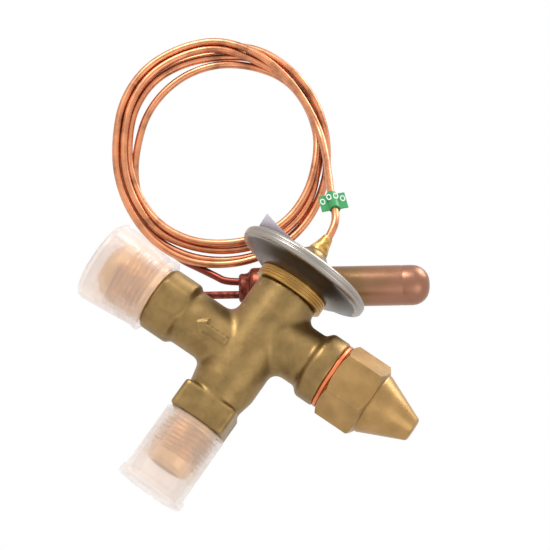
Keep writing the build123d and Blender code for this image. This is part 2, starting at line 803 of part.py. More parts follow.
def outlet_cap():
    """The tapered push-on plastic cap on the outlet flare."""
    grip_r = OUTLET_THREAD_R + 2 * RUN_GAP
    inner_rim_r = OUTLET_CAP_RIM_R - CAP_WALL
    inner_end_r = OUTLET_CAP_END_R - CAP_WALL
    grip_a = OUTLET_CAP_RIM + 2.2
    cup_solid = turned(
        (0, OUTLET_CAP_END),
        (OUTLET_CAP_END_R - 1.6, OUTLET_CAP_END),
        (OUTLET_CAP_END_R - 0.3, OUTLET_CAP_END - 0.9),
        (OUTLET_CAP_END_R, OUTLET_CAP_END - 2.4),
        (OUTLET_CAP_RIM_R + 0.1, OUTLET_CAP_RIM + 2.0),
        (OUTLET_CAP_RIM_R + OUTLET_CAP_LIP, OUTLET_CAP_RIM + 1.4),
        (OUTLET_CAP_RIM_R + OUTLET_CAP_LIP, OUTLET_CAP_RIM),
        (inner_rim_r, OUTLET_CAP_RIM),
        (inner_rim_r, grip_a),
        (grip_r, grip_a + 0.2),
        (grip_r, grip_a + GRIP_WIDTH),
        (inner_rim_r + 0.1, grip_a + GRIP_WIDTH + 0.3),
        (inner_end_r, OUTLET_CAP_END - CAP_WALL),
        (0, OUTLET_CAP_END - CAP_WALL),
    )
    return along_minus_x(cup_solid)


def capillary_ferrule():
    """The brazed cone that the capillary leaves at the top of the element."""
    low = FERRULE_Z - FERRULE_SPIGOT
    return turned(
        (0, low),
        (FERRULE_SPIGOT_R, low),
        (FERRULE_SPIGOT_R, FERRULE_Z),
        (FERRULE_R, FERRULE_Z),
        (FERRULE_TIP_R, EXIT_Z),
        (0, EXIT_Z),
    )


def bulb_plane(distance, side=0.0):
    """A plane across the bulb's axis at a distance from its plugged end."""
    origin = BULB_START + BULB_AXIS * distance + BULB_UP * side
    return Plane(origin=origin, x_dir=(0, 1, 0), z_dir=BULB_AXIS)


def sensing_bulb():
    """The copper sensing bulb, domed at its far end."""
    length = (BULB_END - BULB_START).length - PLUG_LENGTH
    bulb = Cylinder(BULB_R, length, align=FROM_BASE)
    bulb = fillet(bulb.edges().group_by(Axis.Z)[-1], BULB_DOME_R)
    bulb = fillet(bulb.edges().sort_by(Axis.Z)[0], BULB_SHOULDER_R - 0.4)
    return bulb_plane(PLUG_LENGTH).location * bulb


def bulb_plug():
    """The brazed plug at the bulb's near end, which the two tubes enter."""
    plug = Cylinder(PLUG_R, PLUG_LENGTH, align=FROM_BASE)
    plug = chamfer(plug.edges().group_by(Axis.Z)[0], 0.7)
    return bulb_plane(0).location * plug


def bulb_charge_tube():
    """The pinched-off charging tube beside the capillary."""
    straight = CHARGE_TUBE_LENGTH - PINCH_LENGTH
    tube = Cylinder(CHARGE_TUBE_R, straight, align=(Align.CENTER, Align.CENTER, Align.MAX))
    pinch = Pos(0, 0, -straight - PINCH_LENGTH / 2) * Box(3.0, 0.9, PINCH_LENGTH + 0.6)
    return bulb_plane(0, -TUBE_OFFSET).location * (tube + pinch)


def route_tube(name, points):
    """A tube of straight runs joined by the largest tangent arcs that the runs allow."""
    route = [Vector(*p) for p in points]
    radii = []
    for before, corner, after in zip(route, route[1:], route[2:]):
        run_in = corner - before
        run_out = after - corner
        turn = radians(run_in.get_angle(run_out))
        radii.append(0.45 * min(run_in.length, run_out.length) / tan(turn / 2))
    path = FilletPolyline(*route, radius=radii)
    section = Plane(origin=path @ 0, z_dir=path % 0) * Circle(CAPILLARY_R)
    tube = sweep(section, path=path)
    expected = pi * CAPILLARY_R**2 * path.length
    print(name, "radii", [round(r, 1) for r in radii], "length", round(path.length, 2))
    print(name, "volume", round(tube.volume, 2), "section times length", round(expected, 2))
    return tube


def capillary_tail():
    """The capillary from the ferrule up to the coil."""
    return route_tube("capillary_tail", [(0, 0, EXIT_Z)] + TAIL_ROUTE)


def capillary_lead():
    """The capillary from the bulb's plug back to the coil."""
    start = BULB_START + BULB_UP * TUBE_OFFSET
    return route_tube("capillary_lead", [tuple(start)] + LEAD_ROUTE)


def capillary_coil():
    """The outer shape of the loose coil of capillary."""
    section = Pos(COIL_MEAN_R, 0, 0) * Ellipse(COIL_HALF_WIDTH, COIL_HALF_DEPTH)
    standing = Plane.XY * section
    ring = revolve(standing, Axis.Y)
    return Pos(*COIL_CENTRE) * Rot(90, 0, 0) * Rot(-90, 0, 0) * ring


def capillary_marker():
    """The folded marker tag stuck round the capillary."""
    low = Vector(*TAIL_ROUTE[1])
    high = Vector(*TAIL_ROUTE[2])
    axis = (high - low).normalized()
    middle = low + (high - low) * 0.5
    plane = Plane(origin=middle, x_dir=(axis.Z, 0, -axis.X), z_dir=axis)
    wings = Box(MARKER_WIDTH, MARKER_SHEET, MARKER_HEIGHT)
    sleeve = Cylinder(MARKER_SLEEVE_R, MARKER_HEIGHT)
    hole = Cylinder(CAPILLARY_R + RUN_GAP, 2 * MARKER_HEIGHT)
    return plane.location * (wings + sleeve - hole)


def rating_label():
    """The paper label on the upper cup: a stuck strip and a corner that has lifted."""
    outer_x = RIM_R - RIM_WIDTH
    slope = (CUP_SHOULDER_RISE - CUP_KNEE_RISE) / (CUP_KNEE_R - CUP_SHOULDER_R)
    outer_z = RIM_HIGH + SEAT_GAP
    inner_z = outer_z + CUP_KNEE_RISE + slope * (CUP_KNEE_R - LABEL_INNER_X)
    strip_outline = Polyline(
        (-outer_x, 0, outer_z),
        (-LABEL_INNER_X, 0, inner_z),
        (-LABEL_INNER_X, 0, inner_z + LABEL_SHEET),
        (-outer_x, 0, outer_z + LABEL_SHEET),
        close=True,
    )
    strip = extrude(make_face(strip_outline), LABEL_WIDTH, dir=(0, 1, 0))
    flap_outline = Polyline(
        (-outer_x, 0, outer_z),
        (-LABEL_INNER_X, 0, inner_z),
        (-LABEL_INNER_X, 0, inner_z + LABEL_FLAP_INNER),
        (-outer_x + 1.0, 0, outer_z + LABEL_FLAP_OUTER),
        close=True,
    )
    flap = extrude(make_face(flap_outline), LABEL_SHEET, dir=(0, -1, 0))
    return strip + flap


PIECES = [
    valve_body,
    setting_spindle,
    setting_gear,
    spring_seat,
    superheat_spring,
    orifice_housing,
    orifice_cone,
    cone_spring,
    cone_spring_retainer,
    inlet_strainer,
    element_ring,
    element_lower_cup,
    element_upper_cup,
    diaphragm,
    thrust_pad,
    push_rod,
    spindle_seal,
    gland_bush,
    cap_gasket,
    seal_cap,
    inlet_cap,
    outlet_cap,
    capillary_ferrule,
    sensing_bulb,
    bulb_plug,
    bulb_charge_tube,
    capillary_tail,
    capillary_lead,
    capillary_coil,
    capillary_marker,
    rating_label,
]

os.makedirs("parts", exist_ok=True)
for piece in PIECES:
    solid = piece()
    name = piece.__name__
    export_step(solid, f"parts/{name}.step")
    print(name, len(solid.solids()), round(solid.volume, 1))
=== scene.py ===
"""A thermostatic expansion valve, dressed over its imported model."""

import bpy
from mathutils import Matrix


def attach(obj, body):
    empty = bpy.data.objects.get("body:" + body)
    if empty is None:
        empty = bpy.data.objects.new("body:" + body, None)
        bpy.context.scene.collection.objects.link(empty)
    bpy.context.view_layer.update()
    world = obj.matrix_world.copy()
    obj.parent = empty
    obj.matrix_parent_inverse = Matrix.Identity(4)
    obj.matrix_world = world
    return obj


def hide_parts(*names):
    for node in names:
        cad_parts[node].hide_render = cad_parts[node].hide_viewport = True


bl_info = {
    "name": "Expansion Valve",
    "version": (1, 0, 0),
    "blender": (4, 5, 0),
    "location": "View3D > Sidebar > Valve",
    "description": "Builds the visible pieces of a thermostatic expansion valve on its packed model",
    "category": "Object",
}

from math import cos, hypot, pi, radians, sin, sqrt, tau

import bmesh
import bpy
from bpy.props import FloatProperty, FloatVectorProperty, IntProperty, PointerProperty
from mathutils import Matrix, Vector
from mathutils.bvhtree import BVHTree

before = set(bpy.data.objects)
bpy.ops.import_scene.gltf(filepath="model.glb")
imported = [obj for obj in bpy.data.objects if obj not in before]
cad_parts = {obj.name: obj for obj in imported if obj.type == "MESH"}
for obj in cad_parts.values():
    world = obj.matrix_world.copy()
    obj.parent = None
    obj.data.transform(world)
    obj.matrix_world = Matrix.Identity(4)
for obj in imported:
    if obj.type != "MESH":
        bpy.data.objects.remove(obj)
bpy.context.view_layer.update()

MM = 0.001

# Heights and lengths of the valve's forms in millimetres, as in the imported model
OUTLET_Z = 41.0
SPINDLE_Z = 50.6
FERRULE_Z = 79.95
EXIT_Z = 85.35
CAP_X = 25.9
BULB_START = Vector((-17.8, 28.7, 62.7))
BULB_END = Vector((30.8, 28.7, 97.6))
COIL_CENTRE = Vector((-47.8, 31.0, 96.3))

# The capillary's free stretches: up from the ferrule, and from the coil to the bulb's plug
TAIL_POINTS = [
    (0.0, 0.0, 85.35),
    (-0.3, 0.1, 89.2),
    (-3.0, 2.2, 93.8),
    (-8.6, 7.9, 99.4),
    (-14.1, 15.2, 106.6),
    (-20.0, 22.5, 113.7),
]
LEAD_POINTS = [
    (-47.3, 33.3, 61.7),
    (-41.2, 32.5, 60.9),
    (-37.6, 31.7, 60.7),
    (-33.0, 30.9, 61.3),
    (-26.0, 29.4, 61.9),
    (-22.3, 28.7, 62.1),
    (-18.6, 28.7, 64.7),
]

# The turns of the coil: at each angle round the coil, in degrees from +X towards +Z,
# the radius and the depth of every pass of the capillary, first pass first
COIL_PASSES = [
    (47, (31.4, 26.6), (33.6, 28.4), (33.6, 31.0), (30.8, 29.2), (30.9, 31.9), (33.0, 33.5)),
    (62, (30.5, 26.4), (34.1, 28.3), (34.5, 30.9), (31.6, 29.2), (31.7, 31.9), (34.0, 33.4)),
    (90, (32.4, 26.7), (35.6, 28.2), (36.0, 30.7), (32.8, 29.4), (33.0, 32.0), (35.7, 33.3)),
    (108, (34.9, 26.5), (37.0, 28.9), (34.3, 31.4), (32.6, 28.4), (31.2, 30.9), (36.4, 33.3)),
    (126, (37.4, 26.9), (36.2, 29.3), (32.4, 29.6), (34.9, 27.0), (29.9, 28.9), (35.0, 33.3)),
    (172, (37.2, 27.0), (36.0, 29.3), (32.9, 29.2), (34.7, 27.0), (27.5, 28.9), (35.2, 33.2)),
    (212, (33.3, 27.0), (32.2, 29.3), (29.4, 29.2), (30.8, 27.0), (26.8, 30.1), (32.0, 32.8)),
    (247, (34.6, 27.4), (33.2, 29.9), (29.8, 28.9), (32.0, 27.5), (30.5, 31.3), (33.0, 32.8)),
    (270, (36.4, 28.0), (35.0, 30.6), (31.0, 27.2), (33.2, 28.6), (31.5, 30.8), (34.1, 33.2)),
    (292, (37.6, 28.2), (35.4, 29.8), (30.8, 27.2), (32.0, 29.5), (31.2, 31.9), None),
    (306, (37.0, 28.4), (35.2, 30.3), (30.3, 27.3), (32.2, 29.2), (30.9, 31.6), None),
    (343, (36.0, 28.9), (34.9, 31.2), (30.8, 27.2), (32.9, 28.8), (31.3, 31.2), None),
    (365, (34.8, 28.8), (34.0, 31.3), (30.1, 27.4), (32.1, 29.0), (30.5, 31.5), None),
    (390, (33.4, 28.4), (33.6, 30.9), (29.7, 27.7), (30.3, 30.2), (31.0, 32.8), None),
]
# Where the coil starts in its first turn, where it ends in its last, and its whole turns between
COIL_START = 47
COIL_END = 262
COIL_TURNS = 5

# The upper cup's top: (radius, height) pairs from its neck to its rim
CUP_TOP = [(6.9, 77.1), (8.6, 76.55), (10.4, 76.0), (12.2, 75.45)]
CUP_TOP += [(14.2, 75.0), (17.0, 74.35), (18.9, 73.97), (30.0, 73.97)]

# The cast flow arrow: its places along X, its height and half widths, and how far it stands proud
ARROW_TIP, ARROW_NECK, ARROW_TAIL = -16.4, -13.3, -5.6
ARROW_Z, ARROW_SHAFT_HALF, ARROW_HEAD_HALF, ARROW_RISE = 39.9, 1.2, 2.9, 0.5


def linear(hex_colour):
    """The linear colour of an sRGB hex value."""
    channels = [int(hex_colour[i : i + 2], 16) / 255 for i in (0, 2, 4)]
    return tuple(c / 12.92 if c <= 0.04045 else ((c + 0.055) / 1.055) ** 2.4 for c in channels)


def colour_property(name, description, hex_colour):
    """A colour setting with an sRGB hex default."""
    return FloatVectorProperty(
        name=name, description=description, subtype="COLOR", size=3, default=linear(hex_colour)
    )


def length_property(name, description, default):
    """A length setting in metres."""
    return FloatProperty(name=name, description=description, default=default, unit="LENGTH")


def lamp_property(name, default):
    """A lamp's power setting in watts."""
    description = "Power of the " + name.lower()
    return FloatProperty(name=name, description=description, default=default, unit="POWER")


class ValveSizes(bpy.types.PropertyGroup):
    """Sizes of the valve's details."""

    round_steps: IntProperty(
        name="Round steps", description="Faces round a turned piece", default=96, min=24, max=256
    )
    points_per_turn: IntProperty(
        name="Points per turn",
        description="Control points in one turn of the coil",
        default=18,
        min=12,
        max=48,
    )
    edge_round: length_property("Edge round", "Round on machined edges", 0.00022)
    forging_voxel: length_property("Forging grid", "Size of the forged body's faces", 0.0004)
    capillary_diameter: length_property("Capillary diameter", "Outside diameter of the capillary", 0.0024)
    inlet_pitch: length_property("Inlet thread pitch", "5/8-18 UNF thread", 0.00141)
    outlet_pitch: length_property("Outlet thread pitch", "3/4-16 UNF thread", 0.00159)


class ValveColours(bpy.types.PropertyGroup):
    """Colours of the valve's materials."""

    brass: colour_property("Brass", "Clean brass", "9C8052")
    dull_brass: colour_property("Dull brass", "Brass darkened by forging", "7C6540")
    copper: colour_property("Copper", "Drawn copper", "E0976E")
    steel: colour_property("Stainless steel", "Pressed steel sheet", "A29B93")
    cap: colour_property("Cap", "Milky polyethylene", "FFECDF")
    tag: colour_property("Marker", "Marker film", "2F9A55")
    floor: colour_property("Floor", "Studio floor", "F4F4F4")


class ValveStage(bpy.types.PropertyGroup):
    """The studio round the valve."""

    key_power: lamp_property("Key lamp", 5.0)
    fill_power: lamp_property("Fill lamp", 1.0)
    top_power: lamp_property("Top lamp", 3.0)
    ambient: FloatProperty(
        name="Ambient", description="Strength of the room light", default=0.55, min=0.0, max=1.0
    )


def sizes():
    """The scene's size settings."""
    return bpy.context.scene.valve_sizes


def colours():
    """The scene's colour settings."""
    return bpy.context.scene.valve_colours


# Materials


def per(millimetres):
    """The texture scale whose features have this size in millimetres."""
    return 1000 / millimetres


def plug(node, inputs):
    """Sets a node's inputs, and links those that are given as (node, output)."""
    for name, value in inputs.items():
        if isinstance(value, tuple) and isinstance(value[0], bpy.types.Node):
            node.id_data.links.new(value[0].outputs[value[1]], node.inputs[name])
        else:
            node.inputs[name].default_value = value


def add(tree, kind, inputs=None, **settings):
    """Adds a node, sets its properties, and sets or links its inputs."""
    node = tree.nodes.new(kind)
    for name, value in settings.items():
        setattr(node, name, value)
    plug(node, inputs or {})
    return node


def set_stops(ramp, *stops):
    """Puts the colour stops, each (position, linear colour), on a colour ramp node."""
    band = ramp.color_ramp
    while len(band.elements) > 1:
        band.elements.remove(band.elements[-1])
    band.elements[0].position = stops[0][0]
    band.elements[0].color = (*stops[0][1], 1)
    for position, colour in stops[1:]:
        band.elements.new(position).color = (*colour, 1)


def blank_material(name):
    """A material with its surface shader and object coordinates."""
    material = bpy.data.materials.new(name)
    material.use_nodes = True
    tree = material.node_tree
    tree.nodes.clear()
    shader = add(tree, "ShaderNodeBsdfPrincipled")
    add(tree, "ShaderNodeOutputMaterial", {"Surface": (shader, "BSDF")})
    place = add(tree, "ShaderNodeTexCoord")
    return material, tree, shader, (place, "Object")


def set_shader(shader, **values):
    """Sets or links the shader's own sockets, with underscores for the spaces in their names."""
    plug(shader, {name.replace("_", " "): value for name, value in values.items()})


def surface(tree, pattern, smoothest, roughest, strength, depth):
    """Roughness and a fine relief that follow one pattern, for the shader."""
    rough = add(tree, "ShaderNodeMapRange", {"Value": pattern, "To Min": smoothest, "To Max": roughest})
    bump = add(tree, "ShaderNodeBump", {"Height": pattern, "Strength": strength, "Distance": depth})
    return {"Roughness": (rough, "Result"), "Normal": (bump, "Normal")}


def scaled(colour, factor):
    """A colour made darker or lighter by a factor."""
    return tuple(min(1.0, c * factor) for c in colour)


def make_forged_brass():
    """Hot forged brass, shot blasted: finely grained, with painted shade in the creases and recesses and a
    painted highlight on the sharp edges.
    """
    material, tree, shader, place = blank_material("forged_brass_shot_blasted")
    clean, dull = colours().brass, colours().dull_brass
    cloud = add(
        tree, "ShaderNodeTexNoise", {"Vector": place, "Scale": per(5.0), "Detail": 5.0, "Roughness": 0.6}
    )
    tone = add(tree, "ShaderNodeValToRGB", {"Fac": (cloud, "Fac")})
    set_stops(tone, (0.30, dull), (0.55, scaled(clean, 0.86)), (0.75, clean))
    shape = add(tree, "ShaderNodeNewGeometry")
    colour = (tone, "Color")
    # The pointiness rows paint light: a painted highlight on the sharp edges, and painted shade in the
    # creases and recesses
    # Range of pointiness, share of the colour at its two ends, and the colour
    edges, painted_crease_shade = (0.51, 0.6, 0.0, 0.3, "D4B27C"), (0.44, 0.495, 0.6, 0.0, "64482A")
    for low, high, first, last, hue in (edges, painted_crease_shade):
        span = {"From Min": low, "From Max": high, "To Min": first, "To Max": last}
        share = add(tree, "ShaderNodeMapRange", {"Value": (shape, "Pointiness"), **span})
        layers = {0: (share, "Result"), 6: colour, 7: (*linear(hue), 1)}
        colour = (add(tree, "ShaderNodeMix", layers, data_type="RGBA"), 2)
    grain = add(tree, "ShaderNodeTexNoise", {"Vector": place, "Scale": per(0.45), "Detail": 3.0})
    finish = surface(tree, (grain, "Fac"), 0.36, 0.52, 0.35, 0.00005)
    set_shader(shader, Base_Color=colour, Metallic=1.0, **finish)
    return material


def make_turned_metal(name, axis, base, rings_mm):
    """Brass or copper turned on a lathe: fine rings round one axis over a faint tarnish."""
    material, tree, shader, place = blank_material(name)
    cloud = add(tree, "ShaderNodeTexNoise", {"Vector": place, "Scale": per(6.0), "Detail": 4.0})
    tone = add(tree, "ShaderNodeValToRGB", {"Fac": (cloud, "Fac")})
    set_stops(tone, (0.32, scaled(base, 0.72)), (0.7, base))
    parts = add(tree, "ShaderNodeSeparateXYZ", {"Vector": place})
    rings = add(
        tree,
        "ShaderNodeTexNoise",
        {"W": (parts, axis), "Scale": per(rings_mm), "Detail": 3.0},
        noise_dimensions="1D",
    )
    speckle = add(tree, "ShaderNodeTexNoise", {"Vector": place, "Scale": per(0.4), "Detail": 2.0})
    both = add(tree, "ShaderNodeMath", {0: (rings, "Fac"), 1: (speckle, "Fac")}, operation="ADD")
    rough = add(
        tree,
        "ShaderNodeMapRange",
        {"Value": (both, "Value"), "From Min": 0.6, "From Max": 1.4, "To Min": 0.28, "To Max": 0.46},
    )
    bump = add(tree, "ShaderNodeBump", {"Height": (both, "Value"), "Strength": 0.3, "Distance": 0.00004})
    set_shader(
        shader,
        Base_Color=(tone, "Color"),
        Roughness=(rough, "Result"),
        Normal=(bump, "Normal"),
        Metallic=1.0,
    )
    return material


def make_cup_steel():
    """Pressed stainless steel: plain steel at the welded rim, a painted shade in a dark band just inside it,
    and a brown tint left by brazing nearer the middle.
    """
    material, tree, shader, place = blank_material("stainless_steel_tint_and_painted_shade")
    parts = add(tree, "ShaderNodeSeparateXYZ", {"Vector": place})
    flat = add(tree, "ShaderNodeCombineXYZ", {"X": (parts, "X"), "Y": (parts, "Y")})
    radius = add(tree, "ShaderNodeVectorMath", {0: (flat, "Vector")}, operation="LENGTH")
    cloud = add(tree, "ShaderNodeTexNoise", {"Vector": place, "Scale": per(4.0), "Detail": 4.0})
    wander = {0: (cloud, "Fac"), 1: 0.0022, 2: (radius, "Value")}
    shift = add(tree, "ShaderNodeMath", wander, operation="MULTIPLY_ADD")
    span = {"From Min": 0.0095, "From Max": 0.0222}
    share = add(tree, "ShaderNodeMapRange", {"Value": (shift, "Value"), **span})
    tone = add(tree, "ShaderNodeValToRGB", {"Fac": (share, "Result")})
    steel = colours().steel
    # The stops from 0.34 to 0.86 darken the steel towards the rim: painted shade; the warm stops at the
    # middle are the brazing tint
    set_stops(
        tone,
        (0.0, linear("8E7A55")),
        (0.12, linear("9A8D7A")),
        (0.34, linear("7C746A")),
        (0.54, linear("5A5046")),
        (0.86, linear("544A40")),
        (0.92, steel),
    )
    rings = add(
        tree,
        "ShaderNodeTexNoise",
        {"W": (radius, "Value"), "Scale": per(0.35), "Detail": 3.0},
        noise_dimensions="1D",
    )
    finish = surface(tree, (rings, "Fac"), 0.33, 0.37, 0.01, 0.00002)
    set_shader(shader, Base_Color=(tone, "Color"), Metallic=1.0, **finish)
    return material


def make_braze():
    """Brazing brass, run and frozen: golden, lumpy and patchy in shine."""
    material, tree, shader, place = blank_material("brazing_brass_run")
    lumps = add(tree, "ShaderNodeTexNoise", {"Vector": place, "Scale": per(1.3), "Detail": 4.0})
    tone = add(tree, "ShaderNodeValToRGB", {"Fac": (lumps, "Fac")})
    set_stops(tone, (0.3, linear("8A6232")), (0.5, linear("C79B55")), (0.7, linear("E0C184")))
    finish = surface(tree, (lumps, "Fac"), 0.22, 0.5, 0.5, 0.0002)
    set_shader(shader, Base_Color=(tone, "Color"), Metallic=1.0, **finish)
    return material


def make_copper():
    """Drawn soft copper tube: orange, handled and lightly browned in long patches."""
    material, tree, shader, place = blank_material("copper_drawn_annealed")
    copper = colours().copper
    patches = add(
        tree, "ShaderNodeTexNoise", {"Vector": place, "Scale": per(7.0), "Detail": 4.0, "Roughness": 0.6}
    )
    tone = add(tree, "ShaderNodeValToRGB", {"Fac": (patches, "Fac")})
    set_stops(tone, (0.34, scaled(copper, 0.5)), (0.47, scaled(copper, 0.82)), (0.62, copper))
    # The last stretch of the tube, into the bulb's plug, turns dark red
    own = add(tree, "ShaderNodeUVMap")
    run = add(tree, "ShaderNodeSeparateXYZ", {"Vector": (own, "UV")})
    plug_end_share = add(tree, "ShaderNodeMapRange", {"Value": (run, "X"), "From Min": 0.957, "From Max": 0.972})
    dark_red_end = add(
        tree,
        "ShaderNodeMix",
        {0: (plug_end_share, "Result"), 6: (tone, "Color"), 7: (*linear("7C3C30"), 1)},
        data_type="RGBA",
    )
    marks = add(tree, "ShaderNodeTexNoise", {"Vector": place, "Scale": per(0.8), "Detail": 3.0})
    finish = surface(tree, (marks, "Fac"), 0.24, 0.42, 0.15, 0.00004)
    set_shader(shader, Base_Color=(dark_red_end, 2), Metallic=1.0, **finish)
    return material


def make_heated_copper():
    """Copper heated at its brazed end: red brown there, then tan with green, gold and grey tints."""
    material, tree, shader, place = blank_material("copper_flame_tinted")
    axis = (BULB_END - BULB_START).normalized()
    along = add(tree, "ShaderNodeVectorMath", {0: place, 1: tuple(axis)}, operation="DOT_PRODUCT")
    start = axis.dot(BULB_START * MM)
    cloud = add(tree, "ShaderNodeTexNoise", {"Vector": place, "Scale": per(9.0), "Detail": 4.0})
    wander = {0: (cloud, "Fac"), 1: 0.03, 2: (along, "Value")}
    shift = add(tree, "ShaderNodeMath", wander, operation="MULTIPLY_ADD")
    span = {"From Min": start + 0.015, "From Max": start + 0.075}
    share = add(tree, "ShaderNodeMapRange", {"Value": (shift, "Value"), **span})
    tone = add(tree, "ShaderNodeValToRGB", {"Fac": (share, "Result")})
    set_stops(
        tone,
        (0.0, linear("70362A")),
        (0.25, linear("8A4E3C")),
        (0.45, linear("7E5844")),
        (0.62, linear("87694A")),
        (0.78, linear("966C56")),
        (1.0, linear("9C6E5A")),
    )
    marks = add(tree, "ShaderNodeTexNoise", {"Vector": place, "Scale": per(1.2), "Detail": 4.0})
    finish = surface(tree, (marks, "Fac"), 0.24, 0.46, 0.2, 0.00006)
    set_shader(shader, Base_Color=(tone, "Color"), Metallic=1.0, **finish)
    return material


def make_scorched_copper():
    """Copper scaled dark red by the torch."""
    material, tree, shader, place = blank_material("copper_oxidised_red")
    scale = add(tree, "ShaderNodeTexNoise", {"Vector": place, "Scale": per(1.8), "Detail": 5.0})
    tone = add(tree, "ShaderNodeValToRGB", {"Fac": (scale, "Fac")})
    set_stops(tone, (0.35, linear("4A1F18")), (0.55, linear("7E3A2C")), (0.7, linear("9C5340")))
    bump = add(tree, "ShaderNodeBump", {"Height": (scale, "Fac"), "Strength": 0.3, "Distance": 0.0001})
    set_shader(
        shader,
        Base_Color=(tone, "Color"),
        Normal=(bump, "Normal"),
        Metallic=0.8,
        Roughness=0.45,
    )
    return material


def make_cap_plastic():
    """Natural polyethylene, injection moulded: milky, so the thread behind shows blurred."""
    material, tree, shader, place = blank_material("polyethylene_moulded_natural")
    flow = add(tree, "ShaderNodeTexNoise", {"Vector": place, "Scale": per(8.0), "Detail": 2.0})
    tone = add(tree, "ShaderNodeValToRGB", {"Fac": (flow, "Fac")})
    set_stops(tone, (0.3, scaled(colours().cap, 0.93)), (0.7, colours().cap))
    haze = add(tree, "ShaderNodeTexNoise", {"Vector": place, "Scale": per(0.9), "Detail": 2.0})
    bump = add(tree, "ShaderNodeBump", {"Height": (haze, "Fac"), "Strength": 0.12, "Distance": 0.00006})
    set_shader(
        shader,
        Base_Color=(tone, "Color"),
        Normal=(bump, "Normal"),
        Roughness=0.26,
        IOR=1.51,
        Transmission_Weight=0.6,
        Specular_IOR_Level=0.4,
        Alpha=0.42,
    )
    return material


def make_plain(name, base, size_mm, roughness, metallic=0.0, relief_mm=0.02):
    """A one-coloured material with faint clouds and a fine relief of the given size."""
    material, tree, shader, place = blank_material(name)
    cloud = add(tree, "ShaderNodeTexNoise", {"Vector": place, "Scale": per(size_mm * 6), "Detail": 3.0})
    tone = add(tree, "ShaderNodeValToRGB", {"Fac": (cloud, "Fac")})
    set_stops(tone, (0.3, scaled(base, 0.85)), (0.7, base))
    fine = add(tree, "ShaderNodeTexNoise", {"Vector": place, "Scale": per(size_mm), "Detail": 3.0})
    bump = add(tree, "ShaderNodeBump", {"Height": (fine, "Fac"), "Strength": 0.3, "Distance": relief_mm * MM})
    set_shader(
        shader,
        Base_Color=(tone, "Color"),
        Normal=(bump, "Normal"),
        Metallic=metallic,
        Roughness=roughness,
    )
    return material


def make_materials():
    """Makes every material once and returns them by slot."""
    return {
        "forged_brass": make_forged_brass(),
        "thread_brass": make_turned_metal("brass_turned_thread", "X", linear("E8C088"), 0.3),
        "turned_brass": make_turned_metal("brass_turned_cap", "X", linear("B48F5C"), 0.3),
        "ring_brass": make_turned_metal("brass_turned_ring", "Z", linear("C49A58"), 0.25),
        "bright_brass": make_turned_metal("brass_turned_bright", "Z", linear("D8B878"), 0.2),
        "stainless": make_cup_steel(),
        # Hard drawn music wire, oiled: dark grey and smooth.
        "spring_steel": make_plain("spring_steel_drawn", linear("8A8884"), 0.3, 0.3, 1.0),
        "copper": make_copper(),
        # A new copper washer, turned and still bright.
        "bright_copper": make_turned_metal("copper_turned_bright", "X", linear("F08C5E"), 0.2),
        "heated_copper": make_heated_copper(),
        "scorched_copper": make_scorched_copper(),
        "braze": make_braze(),
        "clear_plastic": make_cap_plastic(),
        # Moulded nitrile seal: black and matt.
        "seal_rubber": make_plain("nitrile_rubber_moulded", linear("1E1E1F"), 0.4, 0.6),
        # Printed polypropylene film, folded and stuck on itself: even, half glossy.
        "green_tag": make_plain("polypropylene_film_green", colours().tag, 0.8, 0.38, 0.0, 0.01),
        # White screen ink on the film.
        "tag_ink": make_plain("screen_ink_white", linear("EAF3EC"), 0.5, 0.5, 0.0, 0.01),
        # Coated label paper: off-white with a lilac cast and a soft sheen.
        "label_paper": make_plain("label_paper_coated", linear("DCD3DC"), 0.5, 0.5, 0.0, 0.01),
        # Perforated stainless sheet, rolled into a strainer: grey and even.
        "steel_mesh": make_plain("stainless_steel_perforated", linear("A9A6A0"), 0.3, 0.35, 1.0),
    }


MATERIALS = {}


# Shapes


def put_in_scene(name, data):
    """Makes an object of its data and puts it into the scene."""
    made = bpy.data.objects.new(name, data)
    bpy.context.scene.collection.objects.link(made)
    return made


def mesh_object(name, bm):
    """Turns a bmesh into a named object."""
    mesh = bpy.data.meshes.new(name)
    bm.to_mesh(mesh)
    bm.free()
    return put_in_scene(name, mesh)


def discard(*spent):
    """Removes objects that were only tools, with their meshes."""
    for made in spent:
        mesh = made.data
        bpy.data.objects.remove(made)
        bpy.data.meshes.remove(mesh)


def shape_of(made):
    """An object's mesh with its modifiers carried out, as a bmesh."""
    result = made.evaluated_get(bpy.context.evaluated_depsgraph_get())
    mesh = bpy.data.meshes.new_from_object(result)
    bm = bmesh.new()
    bm.from_mesh(mesh)
    bpy.data.meshes.remove(mesh)
    return bm


def piece(name, bm, material, body="root", replaces=(), edge=None, angle=30):
    """Finishes a bmesh as a named object on its body, with rounded edges where a width is given."""
    bmesh.ops.remove_doubles(bm, verts=bm.verts, dist=1e-7)
    bmesh.ops.recalc_face_normals(bm, faces=bm.faces)
    made = mesh_object(name, bm)
    made.data.shade_smooth()
    made.data.set_sharp_from_angle(angle=radians(angle))
    made.data.materials.append(MATERIALS[material])
    if edge:
        rounding = made.modifiers.new("edges", "BEVEL")
        rounding.limit_method = "ANGLE"
        rounding.angle_limit = radians(angle)
        rounding.width = edge
        rounding.segments = 3
        rounding.harden_normals = True
    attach(made, body)
    if replaces:
        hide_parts(*replaces)


